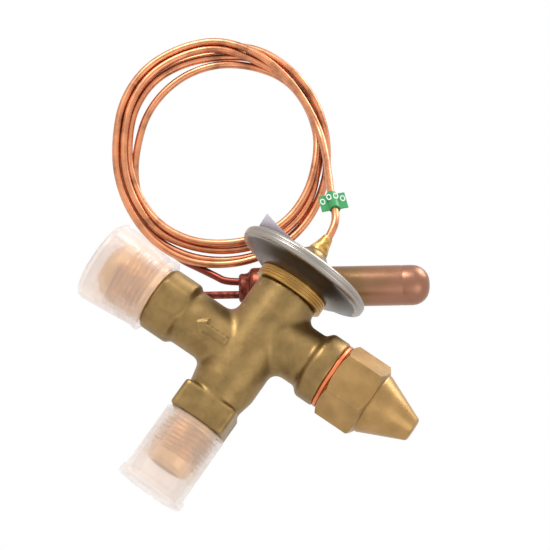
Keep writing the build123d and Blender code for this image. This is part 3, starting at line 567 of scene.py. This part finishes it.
def lathe(bm, outline, place=Matrix.Identity(4), steps=None):
    """Spins a closed outline of (radius, height) corners in millimetres and puts it in place."""
    start = [bm.verts.new((r * MM, 0, h * MM)) for r, h in outline]
    pairs = list(zip(start, start[1:] + start[:1]))
    edges = [bm.edges.new(pair) for pair in pairs if max(v.co.x for v in pair) > 1e-9]
    before = set(bm.verts) - set(start)
    bmesh.ops.spin(
        bm,
        geom=start + edges,
        cent=(0, 0, 0),
        axis=(0, 0, 1),
        dvec=(0, 0, 0),
        angle=tau,
        steps=steps or sizes().round_steps,
        use_merge=True,
        use_duplicate=False,
    )
    turned = [v for v in bm.verts if v not in before]
    bmesh.ops.remove_doubles(bm, verts=turned, dist=1e-7)
    turned = [v for v in bm.verts if v not in before]
    bmesh.ops.transform(bm, matrix=place, verts=turned)


# The depth of a unified thread, as a share of its pitch
THREAD_DEPTH = 0.61

# Places of turned pieces: their height axis turned to +X at the spindle, to -X at the outlet
SPINDLE_PLACE = Matrix.Translation((0, 0, SPINDLE_Z * MM)) @ Matrix.Rotation(pi / 2, 4, "Y")
OUTLET_PLACE = Matrix.Translation((0, 0, OUTLET_Z * MM)) @ Matrix.Rotation(-pi / 2, 4, "Y")


def thread(bm, crest_r, pitch, start, end, place=Matrix.Identity(4)):
    """Winds one pointed thread ridge, in millimetres, from start to end."""
    steps = 40
    depth = THREAD_DEPTH * pitch
    turns = (end - start - pitch) / pitch
    low = start + pitch / 2
    before = set(bm.verts)
    outline = [
        (crest_r - depth - 0.12, low - 0.49 * pitch),
        (crest_r - depth, low - 0.42 * pitch),
        (crest_r, low - 0.07 * pitch),
        (crest_r, low + 0.07 * pitch),
        (crest_r - depth, low + 0.42 * pitch),
        (crest_r - depth - 0.12, low + 0.49 * pitch),
    ]
    tooth = [bm.verts.new((r * MM, 0, h * MM)) for r, h in outline]
    edges = [bm.edges.new(pair) for pair in zip(tooth, tooth[1:] + tooth[:1])]
    bm.faces.new(tooth)
    count = int(steps * turns)
    made = bmesh.ops.spin(
        bm,
        geom=tooth + edges,
        cent=(0, 0, 0),
        axis=(0, 0, 1),
        dvec=(0, 0, pitch * MM / steps),
        angle=tau * count / steps,
        steps=count,
        use_merge=False,
        use_duplicate=False,
    )
    last = [g for g in made["geom_last"] if isinstance(g, bmesh.types.BMEdge)]
    bmesh.ops.edgeloop_fill(bm, edges=last)
    wound = [v for v in bm.verts if v not in before]
    bmesh.ops.transform(bm, matrix=place, verts=wound)


def remeshed(bm, voxel, rounds):
    """Gives a closed bmesh one even skin of small faces and smooths it, as forging rounds a form."""
    # The grid is turned off the form's own axes, so that none of its faces falls in with the grid
    turn = Matrix.Rotation(radians(29), 4, Vector((1, 2, 3)))
    bmesh.ops.transform(bm, matrix=turn, verts=bm.verts)
    rough = mesh_object("rough_form", bm)
    skin = rough.modifiers.new("skin", "REMESH")
    skin.mode = "VOXEL"
    skin.voxel_size = voxel
    skin.adaptivity = 0.0
    smooth = shape_of(rough)
    discard(rough)
    for _ in range(rounds):
        bmesh.ops.smooth_vert(
            smooth, verts=smooth.verts, factor=0.5, use_axis_x=True, use_axis_y=True, use_axis_z=True
        )
    bmesh.ops.transform(smooth, matrix=turn.inverted(), verts=smooth.verts)
    return smooth


def bulb_place(distance, side=0.0):
    """The place of a turned piece at a distance along the bulb's axis, its height axis on that axis."""
    axis = (BULB_END - BULB_START).normalized()
    up = Vector((-axis.z, 0, axis.x))
    point = (BULB_START + axis * distance + up * side) * MM
    return Matrix.Translation(point) @ Vector((0, 0, 1)).rotation_difference(axis).to_matrix().to_4x4()


def cup_top(radius):
    """The height of the upper cup's top at a radius, in millimetres."""
    for (near, high), (far, low) in zip(CUP_TOP, CUP_TOP[1:]):
        if radius <= far:
            return high + (low - high) * max(0.0, radius - near) / (far - near)
    return CUP_TOP[-1][1]


# Operators, one for each piece or group


class VALVE_OT_camera(bpy.types.Operator):
    """Put the camera where the valve is seen from the front and a little below, turned on its side"""

    bl_idname = "valve.camera"
    bl_label = "Camera"

    def execute(self, context):
        azimuth, elevation, roll = radians(8.6), radians(-12.0), radians(35.5)
        back = Vector((sin(azimuth) * cos(elevation), -cos(azimuth) * cos(elevation), sin(elevation)))
        level = (-back).cross(Vector((0, 0, 1))).normalized()
        upright = level.cross(-back)
        right = cos(roll) * level + sin(roll) * upright
        up = cos(roll) * upright - sin(roll) * level
        data = bpy.data.cameras.new("camera")
        data.sensor_width = 36.0
        data.lens = 135.27
        data.clip_start = 0.01
        data.clip_end = 20.0
        target = Vector((-6.6, 0, 66.5)) * MM
        distance = 0.62
        camera = put_in_scene("camera", data)
        turn = Matrix((right, up, back)).transposed().to_4x4()
        camera.matrix_world = Matrix.Translation(target + back * distance) @ turn
        context.scene.camera = camera
        return {"FINISHED"}


def coil_point(turn_angle):
    """A point of the coil at an angle counted on through all its turns, from the table of passes."""
    number = int((turn_angle - COIL_START) // 360)
    angle = turn_angle - 360 * number
    rows = [(row[0], row[1 + number]) for row in COIL_PASSES if row[1 + number]]
    if number < COIL_TURNS:
        rows.append((COIL_START + 360, COIL_PASSES[0][2 + number]))
    low = max(row for row in rows if row[0] <= angle)
    high = min([row for row in rows if row[0] > angle] or [low])
    share = (angle - low[0]) / (high[0] - low[0]) if high is not low else 0
    radius, depth = (a + (b - a) * share for a, b in zip(low[1], high[1]))
    # The spline runs inside its control points by the cosine of half a step
    radius /= cos(pi / sizes().points_per_turn)
    return (
        COIL_CENTRE.x + radius * cos(radians(angle)),
        depth,
        COIL_CENTRE.z + radius * sin(radians(angle)),
    )


class VALVE_OT_capillary(bpy.types.Operator):
    """Lay the capillary from the ferrule through the loose coil to the bulb"""

    bl_idname = "valve.capillary"
    bl_label = "Capillary"

    def execute(self, context):
        step = 360 / sizes().points_per_turn
        count = int((COIL_END + COIL_TURNS * 360 - COIL_START) / step)
        turns = [coil_point(COIL_START + step * i) for i in range(count + 1)]
        route = TAIL_POINTS + turns + LEAD_POINTS
        curve = bpy.data.curves.new("capillary", "CURVE")
        curve.dimensions = "3D"
        curve.bevel_depth = sizes().capillary_diameter / 2
        curve.bevel_resolution = 3
        curve.resolution_u = 8
        curve.use_fill_caps = True
        spline = curve.splines.new("NURBS")
        spline.points.add(len(route) - 1)
        for control, point in zip(spline.points, route):
            control.co = (*(Vector(point) * MM), 1)
        spline.order_u = 3
        spline.use_endpoint_u = True
        curve.materials.append(MATERIALS["copper"])
        made = put_in_scene("capillary", curve)
        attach(made, "root")
        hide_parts("capillary_tail", "capillary_coil", "capillary_lead")
        return {"FINISHED"}


class VALVE_OT_forging(bpy.types.Operator):
    """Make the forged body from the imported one, with its soft blends"""

    bl_idname = "valve.forging"
    bl_label = "Forged body"

    def execute(self, context):
        bm = bmesh.new()
        bm.from_mesh(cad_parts["valve_body"].data)
        bmesh.ops.remove_doubles(bm, verts=bm.verts, dist=2e-6)
        # The threads are cut away at their relief grooves and made as pieces of their own
        for point, outward in (((0, 0, 15.7), (0, 0, -1)), ((-32.1, 0, OUTLET_Z), (-1, 0, 0))):
            cut = bmesh.ops.bisect_plane(
                bm,
                geom=bm.verts[:] + bm.edges[:] + bm.faces[:],
                dist=1e-7,
                plane_co=Vector(point) * MM,
                plane_no=outward,
                clear_outer=True,
            )
            edges = [g for g in cut["geom_cut"] if isinstance(g, bmesh.types.BMEdge)]
            bmesh.ops.bridge_loops(bm, edges=edges)
        shaped = remeshed(bm, sizes().forging_voxel, rounds=7)
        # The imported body's own arrow is smoothed away: its place takes the plain form of the arm's far side
        far_side = BVHTree.FromBMesh(shaped)
        for vert in shaped.verts:
            x, y, z = vert.co / MM
            if -19.4 < x < -8.0 and abs(z - OUTLET_Z) < 3.4 and y < -6:
                hit = far_side.ray_cast(Vector((x, 30, z)) * MM, Vector((0, -1, 0)))[0]
                vert.co.y = -hit.y
        # The cast flow arrow stands a little proud on the front of the outlet arm
        slant = (ARROW_NECK - ARROW_TIP) / ARROW_HEAD_HALF
        for vert in shaped.verts:
            x, z = vert.co.x / MM, abs(vert.co.z / MM - ARROW_Z)
            shaft = min(ARROW_SHAFT_HALF - z, ARROW_TAIL - x, x - ARROW_NECK + 0.7)
            head = min(ARROW_NECK - x, (x - ARROW_TIP - z * slant) * 0.68)
            rise = min(1.0, max(0.0, max(shaft, head) / 0.25 + 0.3))
            if rise > 0 and vert.co.y < -0.006:
                vert.co.y -= ARROW_RISE * rise * MM
        piece("forged_body", shaped, "forged_brass", replaces=["valve_body"], angle=60)
        return {"FINISHED"}


class VALVE_OT_flare_ends(bpy.types.Operator):
    """Turn the two flare ends with their threads and 45 degree noses"""

    bl_idname = "valve.flare_ends"
    bl_label = "Flare ends"

    def execute(self, context):
        # Crest, nose and bore radius, start and length of the thread, tip and root of the end
        inlet = (7.94, 5.75, 5.05, 3.2, 11.8, 0.0, 15.9)
        outlet = (9.525, 6.0, 5.2, 33.0, 12.4, 49.5, 31.9)
        for name, measures, pitch, place in (
            ("inlet_flare_end", inlet, sizes().inlet_pitch, Matrix.Identity(4)),
            ("outlet_flare_end", outlet, sizes().outlet_pitch, OUTLET_PLACE),
        ):
            crest, nose, bore, low, length, tip, root = measures
            pitch_mm = pitch / MM
            core = crest - THREAD_DEPTH * pitch_mm
            land = crest - 0.9
            relief = crest - 0.6
            high = low + length
            inward = 1 if tip < low else -1
            near, far = (low, high)[::inward]
            outline = [
                (bore, tip),
                (nose, tip),
                (land, tip + inward * (land - nose)),
                (core, near),
                (core, far),
                (relief, far + inward * 0.3),
                (relief, root),
                (bore, root),
            ]
            bm = bmesh.new()
            lathe(bm, outline[::inward], place)
            thread(bm, crest, pitch_mm, low, high, place)
            piece(name, bm, "thread_brass")
        return {"FINISHED"}


class VALVE_OT_power_element(bpy.types.Operator):
    """Press the power element's two cups and turn the ring and the ferrule"""

    bl_idname = "valve.power_element"
    bl_label = "Power element"

    def execute(self, context):
        ring = bmesh.new()
        outline = [(7.7, 63.5), (11.0, 63.5)]
        for i in range(4):
            low = 63.75 + 0.84 * i
            outline += [(11.25, low), (11.3, low + 0.28), (10.98, low + 0.42), (10.98, low + 0.7)]
        outline += [(11.2, 67.0), (11.0, 67.2), (9.0, 67.2), (9.0, 68.1), (7.7, 68.1)]
        lathe(ring, outline)
        piece("ridged_ring", ring, "ring_brass", replaces=["element_ring"], edge=0.00006)

        lower = bmesh.new()
        bead = [(20.35, 70.5), (20.9, 70.85), (21.25, 71.35), (21.3, 71.8), (21.15, 72.08)]
        outside = [(9.05, 67.2), (11.9, 67.22), (12.6, 67.4), (14.2, 68.05)]
        outside += [(16.2, 69.05), (18.0, 69.95), (19.2, 70.4), (19.8, 70.42)]
        inside = [(18.9, 72.08), (18.9, 71.3), (17.6, 70.75), (14.0, 68.9), (12.2, 68.1), (9.05, 68.0)]
        lathe(lower, outside + bead + inside)
        piece("lower_cup", lower, "stainless", replaces=["element_lower_cup"], angle=50)

        upper = bmesh.new()
        bead = [(21.15, 72.32), (21.3, 72.6), (21.25, 73.05), (20.9, 73.55), (20.35, 73.88), (19.8, 73.94)]
        outside = CUP_TOP[-2:0:-1]
        neck = [(7.0, 77.05), (5.6, 77.55), (4.5, 78.2), (3.6, 79.0), (3.1, 79.6), (3.0, FERRULE_Z)]
        inside = [(2.05, FERRULE_Z), (2.05, 78.5), (5.6, 76.55), (11.6, 74.75), (18.9, 73.15), (18.9, 72.32)]
        lathe(upper, bead + outside + neck + inside)
        piece("upper_cup", upper, "stainless", replaces=["element_upper_cup"], angle=50)

        weld = bmesh.new()
        lathe(weld, [(20.9, 71.95), (21.22, 71.95), (21.32, 72.2), (21.22, 72.45), (20.9, 72.45)])
        piece("rim_weld", weld, "stainless", angle=70)

        ferrule = bmesh.new()
        outline = [(0, 78.6), (2.0, 78.6), (2.0, 79.9), (3.05, 79.9), (3.0, 80.35), (2.7, 81.1), (2.3, 82.2)]
        outline += [(1.95, 83.5), (1.7, 84.6), (1.5, EXIT_Z - 0.1), (1.25, EXIT_Z), (0, EXIT_Z)]
        lathe(ferrule, outline, steps=48)
        piece("ferrule", ferrule, "braze", replaces=["capillary_ferrule"], angle=50)
        return {"FINISHED"}


class VALVE_OT_seal_cap(bpy.types.Operator):
    """Mill and turn the hexagon seal cap, and lay the copper gasket under it"""

    bl_idname = "valve.seal_cap"
    bl_label = "Seal cap"

    def execute(self, context):
        flat_r, hex_length, nose_length = 10.5, 13.3, 14.5
        corner_r = flat_r * 2 / sqrt(3)
        shoulder = CAP_X + hex_length
        tip = shoulder + nose_length

        envelope = bmesh.new()
        tip_r, tip_round = 4.0, 1.2
        rounded = [
            (tip_r - tip_round * (1 - cos(radians(a))), tip - tip_round * (1 - sin(radians(a))))
            for a in (10, 30, 50, 70, 90)
        ]
        outline = [
            (7.75, CAP_X),
            (flat_r - 0.1, CAP_X),
            (corner_r + 0.1, CAP_X + 1.0),
            (corner_r + 0.1, shoulder - 1.5),
            (flat_r - 0.5, shoulder),
            (9.75, shoulder + 0.05),
            (9.7, shoulder + 0.7),
        ]
        bore = [(4.6, CAP_X + 16), (4.6, CAP_X + 9.7), (7.75, CAP_X + 8.2)]
        outline += rounded + [(0, tip), (0, CAP_X + 18)] + bore
        lathe(envelope, outline, SPINDLE_PLACE)
        bmesh.ops.recalc_face_normals(envelope, faces=envelope.faces)

        hexagon = bmesh.new()
        prism = bmesh.ops.create_circle(hexagon, cap_ends=True, radius=corner_r * MM, segments=6)
        quarter = Matrix.Rotation(pi / 2, 3, "Z")
        bmesh.ops.rotate(hexagon, verts=prism["verts"], cent=(0, 0, 0), matrix=quarter)
        bmesh.ops.translate(hexagon, verts=hexagon.verts, vec=(0, 0, (CAP_X - 1) * MM))
        raised = bmesh.ops.extrude_face_region(hexagon, geom=hexagon.faces[:])
        top = [g for g in raised["geom"] if isinstance(g, bmesh.types.BMVert)]
        bmesh.ops.translate(hexagon, verts=top, vec=(0, 0, (hex_length + nose_length + 2) * MM))
        bmesh.ops.transform(hexagon, matrix=SPINDLE_PLACE, verts=hexagon.verts)
        bmesh.ops.recalc_face_normals(hexagon, faces=hexagon.faces)

        tool = mesh_object("hexagon_tool", hexagon)
        blank = mesh_object("cap_blank", envelope)
        milling = blank.modifiers.new("flats", "BOOLEAN")
        milling.operation = "INTERSECT"
        milling.solver = "EXACT"
        milling.object = tool
        bm = shape_of(blank)
        discard(blank, tool)
        replaced, slot, edge = ["seal_cap"], "turned_brass", sizes().edge_round
        piece("hexagon_seal_cap", bm, "turned_brass", "seal_cap_body", replaced, edge, angle=24)

        gasket = bmesh.new()
        section = [(7.9, 24.5), (10.2, 24.5), (10.5, 24.8), (10.5, 25.6), (10.2, 25.9), (7.9, 25.9)]
        lathe(gasket, section, SPINDLE_PLACE)
        replaced, slot = ["cap_gasket"], "copper"
        piece("copper_gasket", gasket, "bright_copper", "gasket_carrier", replaced, edge=0.0001)
        return {"FINISHED"}


class VALVE_OT_plastic_caps(bpy.types.Operator):
    """Mould the two push-on plastic caps"""

    bl_idname = "valve.plastic_caps"
    bl_label = "Plastic caps"

    def execute(self, context):
        inlet = [
            (0, -8.2),
            (10.35, -8.2),
            (10.85, -7.7),
            (10.85, -5.6),
            (10.05, -5.0),
            (10.0, 16.0),
            (8.5, 16.0),
            (8.5, 14.0),
            (8.04, 13.7),
            (8.04, 12.4),
            (8.5, 12.1),
            (8.5, -6.7),
            (0, -6.7),
        ]
        outlet = [
            (0, 52.7),
            (11.4, 52.7),
            (12.7, 51.8),
            (13.0, 50.3),
            (11.5, 33.7),
            (11.85, 33.1),
            (11.85, 31.7),
            (9.9, 31.7),
            (9.9, 33.9),
            (9.625, 34.1),
            (9.625, 35.5),
            (10.0, 35.8),
            (11.5, 51.2),
            (0, 51.2),
        ]
        plastic = "clear_plastic"
        for end, outline, place in (("inlet", inlet, Matrix.Identity(4)), ("outlet", outlet, OUTLET_PLACE)):
            bm = bmesh.new()
            lathe(bm, outline, place)
            node = end + "_cap"
            piece(end + "_push_cap", bm, plastic, node + "_body", [node], edge=0.0003)
        return {"FINISHED"}


class VALVE_OT_bulb(bpy.types.Operator):
    """Spin the sensing bulb with its plug and pinched charging tube"""

    bl_idname = "valve.bulb"
    bl_label = "Sensing bulb"

    def execute(self, context):
        length = (BULB_END - BULB_START).length
        bulb = bmesh.new()
        barrel_r, dome_r = 6.35, 5.4
        dome = [
            (barrel_r - dome_r * (1 - cos(radians(a))), length - dome_r * (1 - sin(radians(a))))
            for a in range(0, 91, 15)
        ]
        outline = [(0, 3.2), (4.9, 3.2), (5.7, 3.5), (6.2, 4.1), (barrel_r, 4.9)]
        outline += [(barrel_r, length - 9.4), (6.29, length - 9.0)]
        outline += [(6.29, length - 8.6), (barrel_r, length - 8.2)]
        lathe(bulb, outline + dome + [(0, length)], bulb_place(0))
        piece("bulb_barrel", bulb, "heated_copper", replaces=["sensing_bulb"], angle=40)

        stopper = bmesh.new()
        outline = [(0, 0), (3.7, 0), (4.35, 0.3), (4.6, 0.9)]
        outline += [(4.55, 1.9), (4.75, 2.7), (5.2, 3.25), (0, 3.25)]
        lathe(stopper, outline, bulb_place(0), 64)
        piece("brazed_plug", stopper, "scorched_copper", replaces=["bulb_plug"], angle=50)

        tube = bmesh.new()
        outline = [(0, -16.9), (0.9, -16.9), (1.15, -16.4), (1.15, -13.2)]
        outline += [(1.2, -11.6), (1.2, 0.2), (0, 0.2)]
        lathe(tube, outline, steps=32)
        # The jaws of the pinching tool press the end flat and wide
        for vert in tube.verts:
            share = min(1.0, max(0.0, (-vert.co.z / MM - 11.6) / 1.6))
            vert.co.x *= 1 + 0.28 * share
            vert.co.y *= 1 - 0.62 * share
        bmesh.ops.transform(tube, matrix=bulb_place(0, -2.1), verts=tube.verts)
        piece("pinched_tube", tube, "scorched_copper", replaces=["bulb_charge_tube"], angle=50)
        return {"FINISHED"}


class VALVE_OT_tags(bpy.types.Operator):
    """Fold the green marker on the capillary and stick the paper label on the power element"""

    bl_idname = "valve.tags"
    bl_label = "Marker and label"

    def execute(self, context):
        low, high = Vector(TAIL_POINTS[2]), Vector(TAIL_POINTS[3])
        axis = (high - low).normalized()
        side = Vector((axis.z, 0, -axis.x)).normalized()
        front = axis.cross(side)
        middle = (low + high) / 2
        place = Matrix.Translation(middle * MM) @ Matrix((side, front, axis)).transposed().to_4x4()

        film = bmesh.new()
        bmesh.ops.create_grid(film, x_segments=24, y_segments=8, size=0.5)
        bmesh.ops.scale(film, verts=film.verts, vec=(8.2 * MM, 7.6 * MM, 1))
        bmesh.ops.rotate(film, verts=film.verts, cent=(0, 0, 0), matrix=Matrix.Rotation(pi / 2, 3, "X"))
        back = bmesh.ops.duplicate(film, geom=film.verts[:] + film.edges[:] + film.faces[:])["geom"]
        behind = {g for g in back if isinstance(g, bmesh.types.BMVert)}
        # The two leaves part round the tube and lie on each other in the wings
        for vert in film.verts:
            reach = abs(vert.co.x / MM)
            bulge = sqrt(max(0.0, 1.6**2 - reach**2)) if reach < 1.6 else 0.0
            gap = max(bulge, 0.12)
            vert.co.y = (-gap if vert in behind else gap) * MM
        rims = [e for e in film.edges if e.is_boundary]
        bmesh.ops.bridge_loops(film, edges=rims)
        bmesh.ops.transform(film, matrix=place, verts=film.verts)
        piece("green_marker", film, "green_tag", replaces=["capillary_marker"], angle=60)

        print_ink = bmesh.new()
        for across in (-3.1, -1.05, 1.05, 3.1):
            lift = max(0.14, sqrt(max(0.0, 1.66**2 - max(0.0, abs(across) - 0.4) ** 2)))
            zero = Matrix.Translation(Vector((across, -lift, 0.9)) * MM) @ Matrix.Rotation(pi / 2, 4, "X")
            stretch = Matrix.Diagonal((0.8, 1.5, 1, 1))
            lathe(print_ink, [(0.62, 0), (1.0, 0), (1.0, 0.03), (0.62, 0.03)], place @ zero @ stretch, 28)
        piece("marker_zeros", print_ink, "tag_ink")

        # The label lies on the cup and curls up round a radius from the middle of the cup on
        curl = 5.0
        sheet = bmesh.new()
        bmesh.ops.create_grid(sheet, x_segments=22, y_segments=30, size=0.5)
        for vert in sheet.verts:
            inward, along = vert.co.x + 0.5, 0.5 - vert.co.y
            x = -18.6 + 10.0 * inward
            run = along * (17.5 - 4.5 * inward) - 9.0
            y = -run if run < 0 else -curl * sin(run / curl)
            lift = 0.22 + (curl * (1 - cos(run / curl)) if run > 0 else 0.0)
            vert.co = Vector((x, y, cup_top(hypot(x, y)) + lift)) * MM
        bmesh.ops.solidify(sheet, geom=sheet.faces[:], thickness=0.00012)
        piece("curled_label", sheet, "label_paper", replaces=["rating_label"], angle=60)
        return {"FINISHED"}


class VALVE_OT_inner_pieces(bpy.types.Operator):
    """Give the pieces inside the valve their materials"""

    bl_idname = "valve.inner_pieces"
    bl_label = "Inner pieces"

    def execute(self, context):
        kept = {
            "setting_spindle": "bright_brass",
            "setting_gear": "bright_brass",
            "spring_seat": "bright_brass",
            "superheat_spring": "spring_steel",
            "orifice_housing": "bright_brass",
            "orifice_cone": "bright_brass",
            "cone_spring": "spring_steel",
            "cone_spring_retainer": "bright_brass",
            "inlet_strainer": "steel_mesh",
            "diaphragm": "stainless",
            "thrust_pad": "stainless",
            "push_rod": "spring_steel",
            "spindle_seal": "seal_rubber",
            "gland_bush": "bright_brass",
        }
        for node, material in kept.items():
            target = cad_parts[node]
            if not target.material_slots:
                target.data.materials.append(MATERIALS[material])
            target.material_slots[0].material = MATERIALS[material]
        return {"FINISHED"}


class VALVE_OT_stage(bpy.types.Operator):
    """Set up the pale floor, the white surroundings and the lamps"""

    bl_idname = "valve.stage"
    bl_label = "Stage"

    def execute(self, context):
        settings = context.scene.valve_stage
        ground = bmesh.new()
        bmesh.ops.create_grid(ground, x_segments=8, y_segments=8, size=3.0)
        bmesh.ops.translate(ground, verts=ground.verts, vec=(0, 0, -0.072))
        floor = mesh_object("floor", ground)
        material, tree, shader, place = blank_material("floor_painted_white")
        cloud = add(tree, "ShaderNodeTexNoise", {"Vector": place, "Scale": 3.0, "Detail": 2.0})
        tone = add(tree, "ShaderNodeValToRGB", {"Fac": (cloud, "Fac")})
        set_stops(tone, (0.3, scaled(colours().floor, 0.98)), (0.7, colours().floor))
        # The floor fades into the white surroundings away from the valve
        reach = add(tree, "ShaderNodeVectorMath", {0: place}, operation="LENGTH")
        fade = add(
            tree,
            "ShaderNodeMapRange",
            {"Value": (reach, "Value"), "From Min": 0.14, "From Max": 0.42, "To Min": 1.0, "To Max": 0.0},
            interpolation_type="SMOOTHSTEP",
        )
        set_shader(shader, Base_Color=(tone, "Color"), Alpha=(fade, "Result"), Roughness=0.9)
        floor.data.materials.append(material)

        world = bpy.data.worlds.new("white_room")
        world.use_nodes = True
        tree = world.node_tree
        tree.nodes.clear()
        path = add(tree, "ShaderNodeLightPath")
        seen = (path, "Is Camera Ray")
        for ray in ("Is Glossy Ray", "Is Transmission Ray"):
            either = add(tree, "ShaderNodeMath", {0: seen, 1: (path, ray)}, operation="MAXIMUM")
            seen = (either, "Value")
        room = add(tree, "ShaderNodeBackground", {"Color": (1, 1, 1, 1), "Strength": settings.ambient})
        white = add(tree, "ShaderNodeBackground", {"Color": (1, 1, 1, 1), "Strength": 1.0})
        both = add(tree, "ShaderNodeMixShader", {0: seen, 1: (room, "Background"), 2: (white, "Background")})
        add(tree, "ShaderNodeOutputWorld", {"Surface": (both, "Shader")})
        context.scene.world = world

        target = Vector((-10, 0, 60)) * MM
        lamps = (
            ("key_lamp", (-0.55, -0.55, 0.55), 0.35, settings.key_power),
            ("fill_lamp", (0.6, -0.5, 0.0), 0.5, settings.fill_power),
            ("top_lamp", (0.05, 0.1, 0.8), 0.4, settings.top_power),
        )
        for name, spot, size, power in lamps:
            data = bpy.data.lights.new(name, "AREA")
            data.shape = "SQUARE"
            data.size = size
            data.energy = power
            lamp = put_in_scene(name, data)
            lamp.location = spot
            lamp.rotation_euler = (Vector(spot) - target).to_track_quat("Z", "Y").to_euler()
        context.scene.view_settings.view_transform = "Standard"
        return {"FINISHED"}


class VALVE_OT_declare(bpy.types.Operator):
    """An empty step: it changes nothing in the scene"""

    bl_idname = "valve.declare_capillary"
    bl_label = "Capillary facts"

    def execute(self, context):
        return {"FINISHED"}


class VALVE_PT_panel(bpy.types.Panel):
    """The valve's pieces in the sidebar"""

    bl_idname = "VALVE_PT_panel"
    bl_label = "Expansion Valve"
    bl_space_type = "VIEW_3D"
    bl_region_type = "UI"
    bl_category = "Valve"

    def draw(self, context):
        for group in ("valve_sizes", "valve_colours", "valve_stage"):
            settings = getattr(context.scene, group)
            box = self.layout.box()
            for name in settings.bl_rna.properties.keys():
                if name not in ("rna_type", "name"):
                    box.prop(settings, name)
        for step in STEPS:
            self.layout.operator(step.bl_idname)


GROUPS = {"valve_sizes": ValveSizes, "valve_colours": ValveColours, "valve_stage": ValveStage}
STEPS = (
    VALVE_OT_camera,
    VALVE_OT_capillary,
    VALVE_OT_forging,
    VALVE_OT_flare_ends,
    VALVE_OT_power_element,
    VALVE_OT_seal_cap,
    VALVE_OT_plastic_caps,
    VALVE_OT_bulb,
    VALVE_OT_tags,
    VALVE_OT_inner_pieces,
    VALVE_OT_declare,
    VALVE_OT_stage,
)


def register():
    """Registers the settings, the operators and the panel."""
    for name, group in GROUPS.items():
        bpy.utils.register_class(group)
        setattr(bpy.types.Scene, name, PointerProperty(type=group))
    for kind in (*STEPS, VALVE_PT_panel):
        bpy.utils.register_class(kind)


def unregister():
    """Takes them away again."""
    for kind in reversed((*STEPS, VALVE_PT_panel)):
        bpy.utils.unregister_class(kind)
    for name, group in GROUPS.items():
        delattr(bpy.types.Scene, name)
        bpy.utils.unregister_class(group)


def main():
    """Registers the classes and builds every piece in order."""
    register()
    MATERIALS.update(make_materials())
    for step in STEPS:
        group, name = step.bl_idname.split(".")
        getattr(getattr(bpy.ops, group), name)()


if __name__ == "__main__":
    main()
